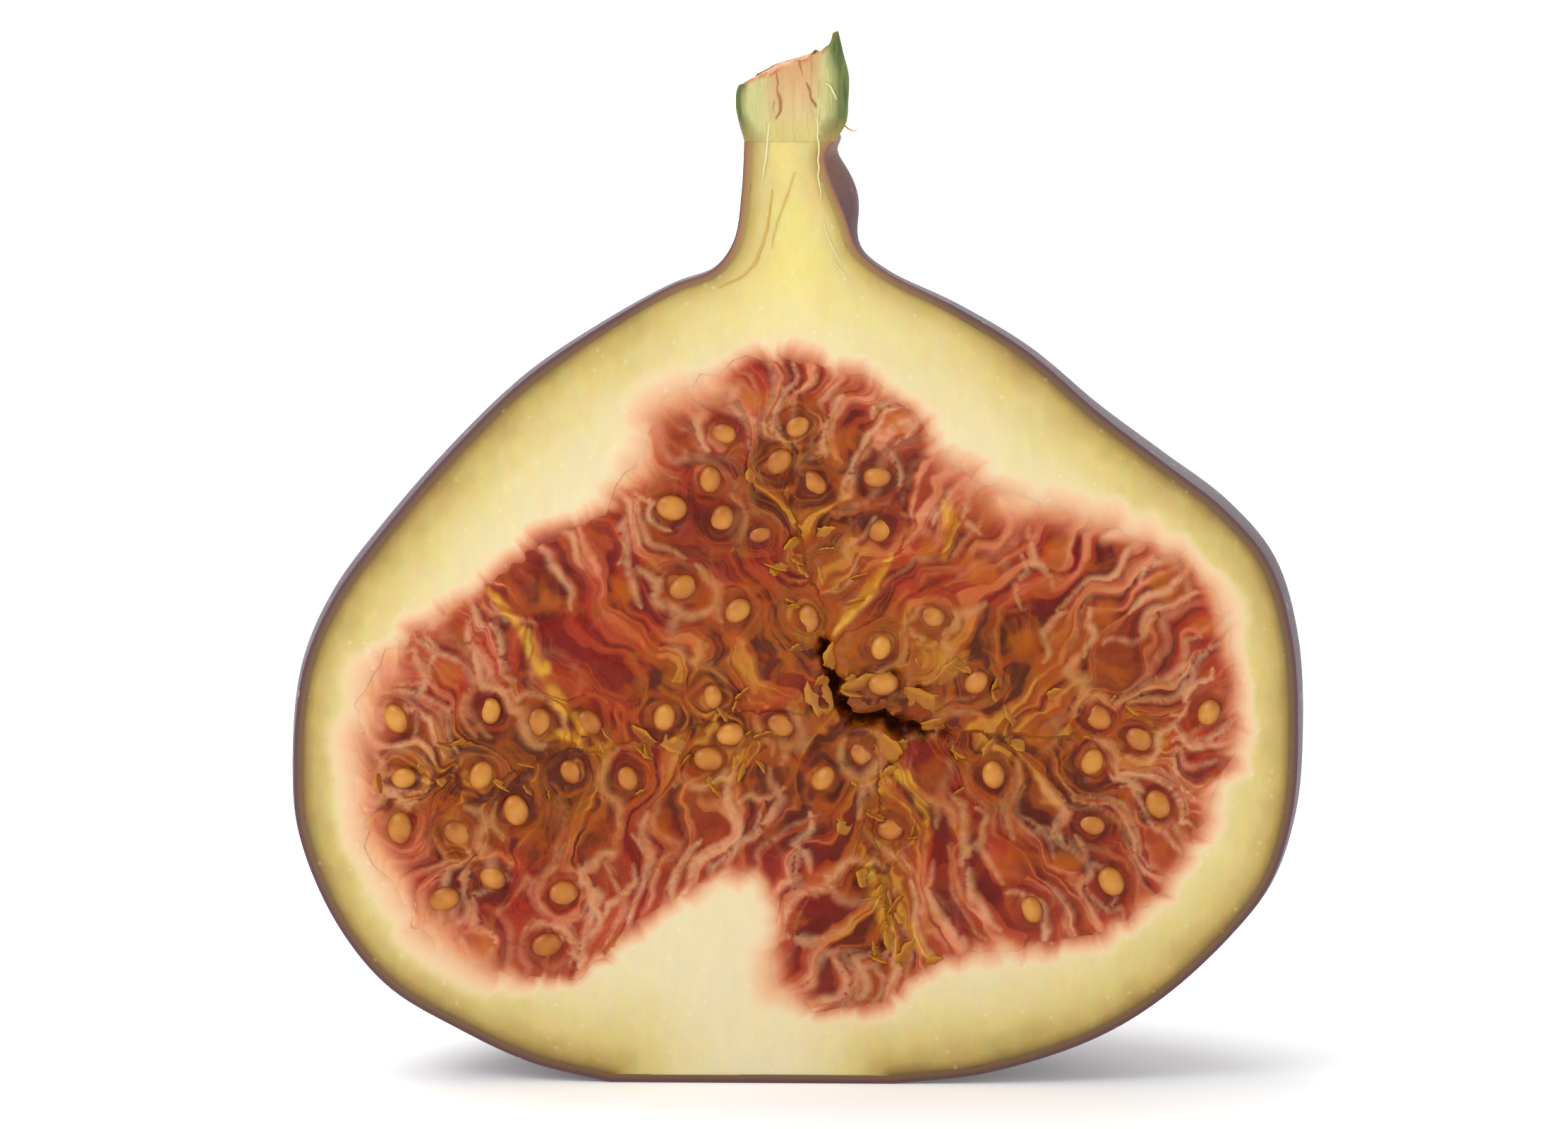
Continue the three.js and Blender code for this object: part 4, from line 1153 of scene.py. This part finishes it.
def fig_stalk():
    """Fig stalk: green rind, pale moist fibres inside, drying to orange brown towards the torn end."""
    material, add, shader, mm = new_material("fig_stalk")
    place = add("SeparateXYZ", {0: mm}).node.outputs
    stretched = add("VectorMath", {0: mm, 1: (3.0, 3.0, 0.45)}, operation="MULTIPLY")
    fibres = add("TexNoise", {"Vector": stretched, "Scale": 1.0, "Detail": 4.0, "Roughness": 0.6})
    ragged = add("Math", {0: fibres, 1: 1.6, 2: place["Z"]}, operation="MULTIPLY_ADD")
    up = add("MapRange", {"Value": ragged, "From Min": 49.9, "From Max": 54.2})
    moist = add(
        "ValToRGB", {"Fac": up}, [(0.0, "#cbba6c"), (0.3, "#ceb77c"), (0.6, "#cea874"), (1.0, "#c79662")]
    )
    # Beside the core the stalk is paler and greener.
    aside = add("Math", {0: add("Math", {0: place["X"], 1: 0.15})}, operation="ABSOLUTE")
    beside = add("MapRange", {"Value": aside, "From Min": 1.0, "From Max": 1.7})
    moist = add("Mix", {0: beside, 6: moist, 7: "#c2be7c"}, data_type="RGBA")
    torn, rim = (add("Attribute", attribute_name=name, out="Fac") for name in ("torn", "rim"))
    frayed, near = (add("Math", {0: fibres, 1: -0.5, 2: gap}, operation="MULTIPLY_ADD") for gap in (torn, rim))
    dried = add("MapRange", {"Value": frayed, "From Min": 0.02, "From Max": -0.2})
    dry = add("ValToRGB", {"Fac": fibres}, [(0.35, "#9c6230"), (0.5, "#c07c3c"), (0.65, "#d0a674")])
    inside = add("Mix", {0: dried, 6: moist, 7: dry}, data_type="RGBA")
    rind = add("ValToRGB", {"Fac": fibres}, [(0.3, "#3c4c22"), (0.5, "#5c6c2c"), (0.75, "#8c8444")])
    # At its foot the rind gives way to the olive margin of the neck.
    foot = add("MapRange", {"Value": place["Z"], "From Min": 50.3, "From Max": 49.1})
    rind = add("Mix", {0: foot, 6: rind, 7: "#9a8040"}, data_type="RGBA")
    wide = add("MapRange", {"Value": foot, "To Min": 0.3, "To Max": 1.0})
    into = add("MapRange", {"Value": near, "From Min": -0.02, "From Max": wide})
    set_inputs(shader, {
        "Base Color": add("Mix", {0: into, 6: rind, 7: inside}, data_type="RGBA"), "Roughness": 0.5,
        "Normal": add("Bump", {"Height": fibres, "Distance": 0.0003, "Strength": 0.8}), "Subsurface Weight": 0.2,
        "Subsurface Scale": 0.0006,
    })
    return material


downs, rounds = np.linspace(1, 0, STALK_ROWS), np.linspace(0, 1, STALK_COLUMNS)
stub = round_surface((STALK_RIGHT, STALK_LEFT, STALK_BACK), downs, rounds, 0)
rise = downs[:, None] ** 6
torn = 0.25 * soft_noise(np.arange(STALK_COLUMNS) / 3.0, np.zeros(STALK_COLUMNS), 51)[None, :] - 0.6
stub[..., 2] += rise * torn * np.sin(math.pi * rounds[None, :]) ** 0.5
stub[..., 1] = np.maximum(stub[..., 1], 0)
sides = np.vstack([stub[:, 0], stub[::-1, -1]])[:, [0, 2]]
ridge_x = np.concatenate(
    [np.linspace(STALK_TEAR[0][0], STALK_TEAR[-3][0], 44), [x for x, _ in STALK_TEAR[-2:]]]
)
ridge_z = np.interp(ridge_x, *np.transpose(STALK_TEAR))
ridge_z[:-2] += 0.1 * soft_noise(ridge_x[:-2] / 0.25, ridge_x[:-2] * 0, 52)
ridge = np.column_stack([ridge_x, ridge_z])
outline = np.vstack([sides, ridge])
field = scattered(*STALK_FIELD, STALK_SPACING, seed=53)
_, rim_gap = nearest(field, outline)
field = field[is_inside(field, outline) & (rim_gap > 0.07)]
front, front_faces = filled_outline([outline], field)
_, side_gap = nearest(front, sides)
_, rim_gap = nearest(front, outline)
level = (
    0.12 * soft_noise(front[:, 0] / 0.35, front[:, 1] / 1.2, 54)
    * np.clip((front[:, 1] - STALK_ROOT) / 1.5, 0, 1)
)
level = level * np.minimum(rim_gap * 3, 1) - 0.03
points = np.column_stack([front[:, 0], level, front[:, 1]])
behind = stub[:, 1:-1].reshape(-1, 3)
inner = STALK_COLUMNS - 2
faces = shell_faces(
    front_faces, STALK_ROWS, inner, len(points), range(2 * STALK_ROWS, 2 * STALK_ROWS + len(ridge))
)
stalk = new_piece("stalk_stub", np.vstack([points, behind]), faces)
top_row = np.zeros(len(behind))
top_row[:inner] = 1
set_values(stalk, "rim", np.concatenate([side_gap * np.where(front[:, 0] > 1.2, 0.5, 1), top_row]))
set_values(stalk, "torn", np.concatenate([nearest(front, ridge)[1], 1 - top_row]))
stalk.data.materials.append(fig_stalk())
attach(stalk, "root")
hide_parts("stalk")


# The stage
# A plain white sweep under soft studio light.
SWEEP_WIDTH = 1600
SWEEP_FRONT = -1400
SWEEP_BEND = 1200
SWEEP_RADIUS = 260
SWEEP_TOP = 900
FIG_PHOTO_SCALE = 27.5  # pixels of the photograph to a millimetre at the cut face
PHOTO_SIZE = (2222, 1600)
STALK_AXIS_PIXEL = 1128
BASE_PIXEL = 1545
LENS = 250
SENSOR = 36
CAMERA_ELEVATION = 7.0
CAMERA_AZIMUTH = 2.0

bend = [
    (SWEEP_BEND + SWEEP_RADIUS * math.sin(turn), SWEEP_RADIUS * (1 - math.cos(turn)))
    for turn in np.linspace(0, math.pi / 2, 24)
]
profile = [(SWEEP_FRONT, 0), (0, 0), *bend, (SWEEP_BEND + SWEEP_RADIUS, SWEEP_TOP)]
points = [(x, y, z) for y, z in profile for x in (-SWEEP_WIDTH, SWEEP_WIDTH)]
mesh = bpy.data.meshes.new("sweep")
mesh.from_pydata((np.array(points) / 1000).tolist(), [], grid_faces(len(profile), 2))
mesh.shade_smooth()
sweep = new_object("sweep", mesh)
paper = bpy.data.materials.new("white_paper")
paper.use_nodes = True
set_inputs(paper.node_tree.nodes["Principled BSDF"], {
    "Base Color": "#fafafa", "Emission Color": "#ffffff", "Emission Strength": 0.12, "Roughness": 0.9,
})
mesh.materials.append(paper)

bpy.context.scene.view_settings.view_transform = "Standard"
world = bpy.data.worlds.new("studio")
bpy.context.scene.world = world
world.use_nodes = True
set_inputs(world.node_tree.nodes["Background"], {"Color": "#ffffff", "Strength": 0.55})


def add_softbox(name, place, target, width, watts):
    """A square area light at a place in millimetres, turned to a target."""
    light = bpy.data.lights.new(name, "AREA")
    light.size = width / 1000
    light.energy = watts
    box = new_object(name, light)
    box.location = Vector(place) / 1000
    box.rotation_euler = (Vector(target) - Vector(place)).to_track_quat("-Z", "Y").to_euler()


middle = (0, 0, 25)
add_softbox("key", (-320, -330, 330), middle, 300, 1.25)
add_softbox("fill", (320, -360, 160), middle, 300, 0.4)
add_softbox("top", (-160, 160, 460), middle, 420, 1.8)
add_softbox("back", (0, 850, 600), (0, 850, 0), 900, 4.0)

camera = new_object("camera", bpy.data.cameras.new("camera"))
camera.data.lens = LENS
camera.data.sensor_width = SENSOR
aim = Vector((
    FIG_ORIGIN[0] + (PHOTO_SIZE[0] / 2 - STALK_AXIS_PIXEL) / FIG_PHOTO_SCALE,
    FIG_ORIGIN[1],
    (BASE_PIXEL - PHOTO_SIZE[1] / 2) / FIG_PHOTO_SCALE,
)) / 1000
distance = PHOTO_SIZE[0] / FIG_PHOTO_SCALE * LENS / SENSOR / 1000
azimuth, elevation = math.radians(CAMERA_AZIMUTH), math.radians(CAMERA_ELEVATION)
back = Vector(
    (math.sin(azimuth) * math.cos(elevation), -math.cos(azimuth) * math.cos(elevation), math.sin(elevation))
)
camera.location = aim + back * distance
camera.rotation_euler = (-back).to_track_quat("-Z", "Y").to_euler()
camera.data.clip_start = 0.01
camera.data.clip_end = 10
bpy.context.scene.camera = camera
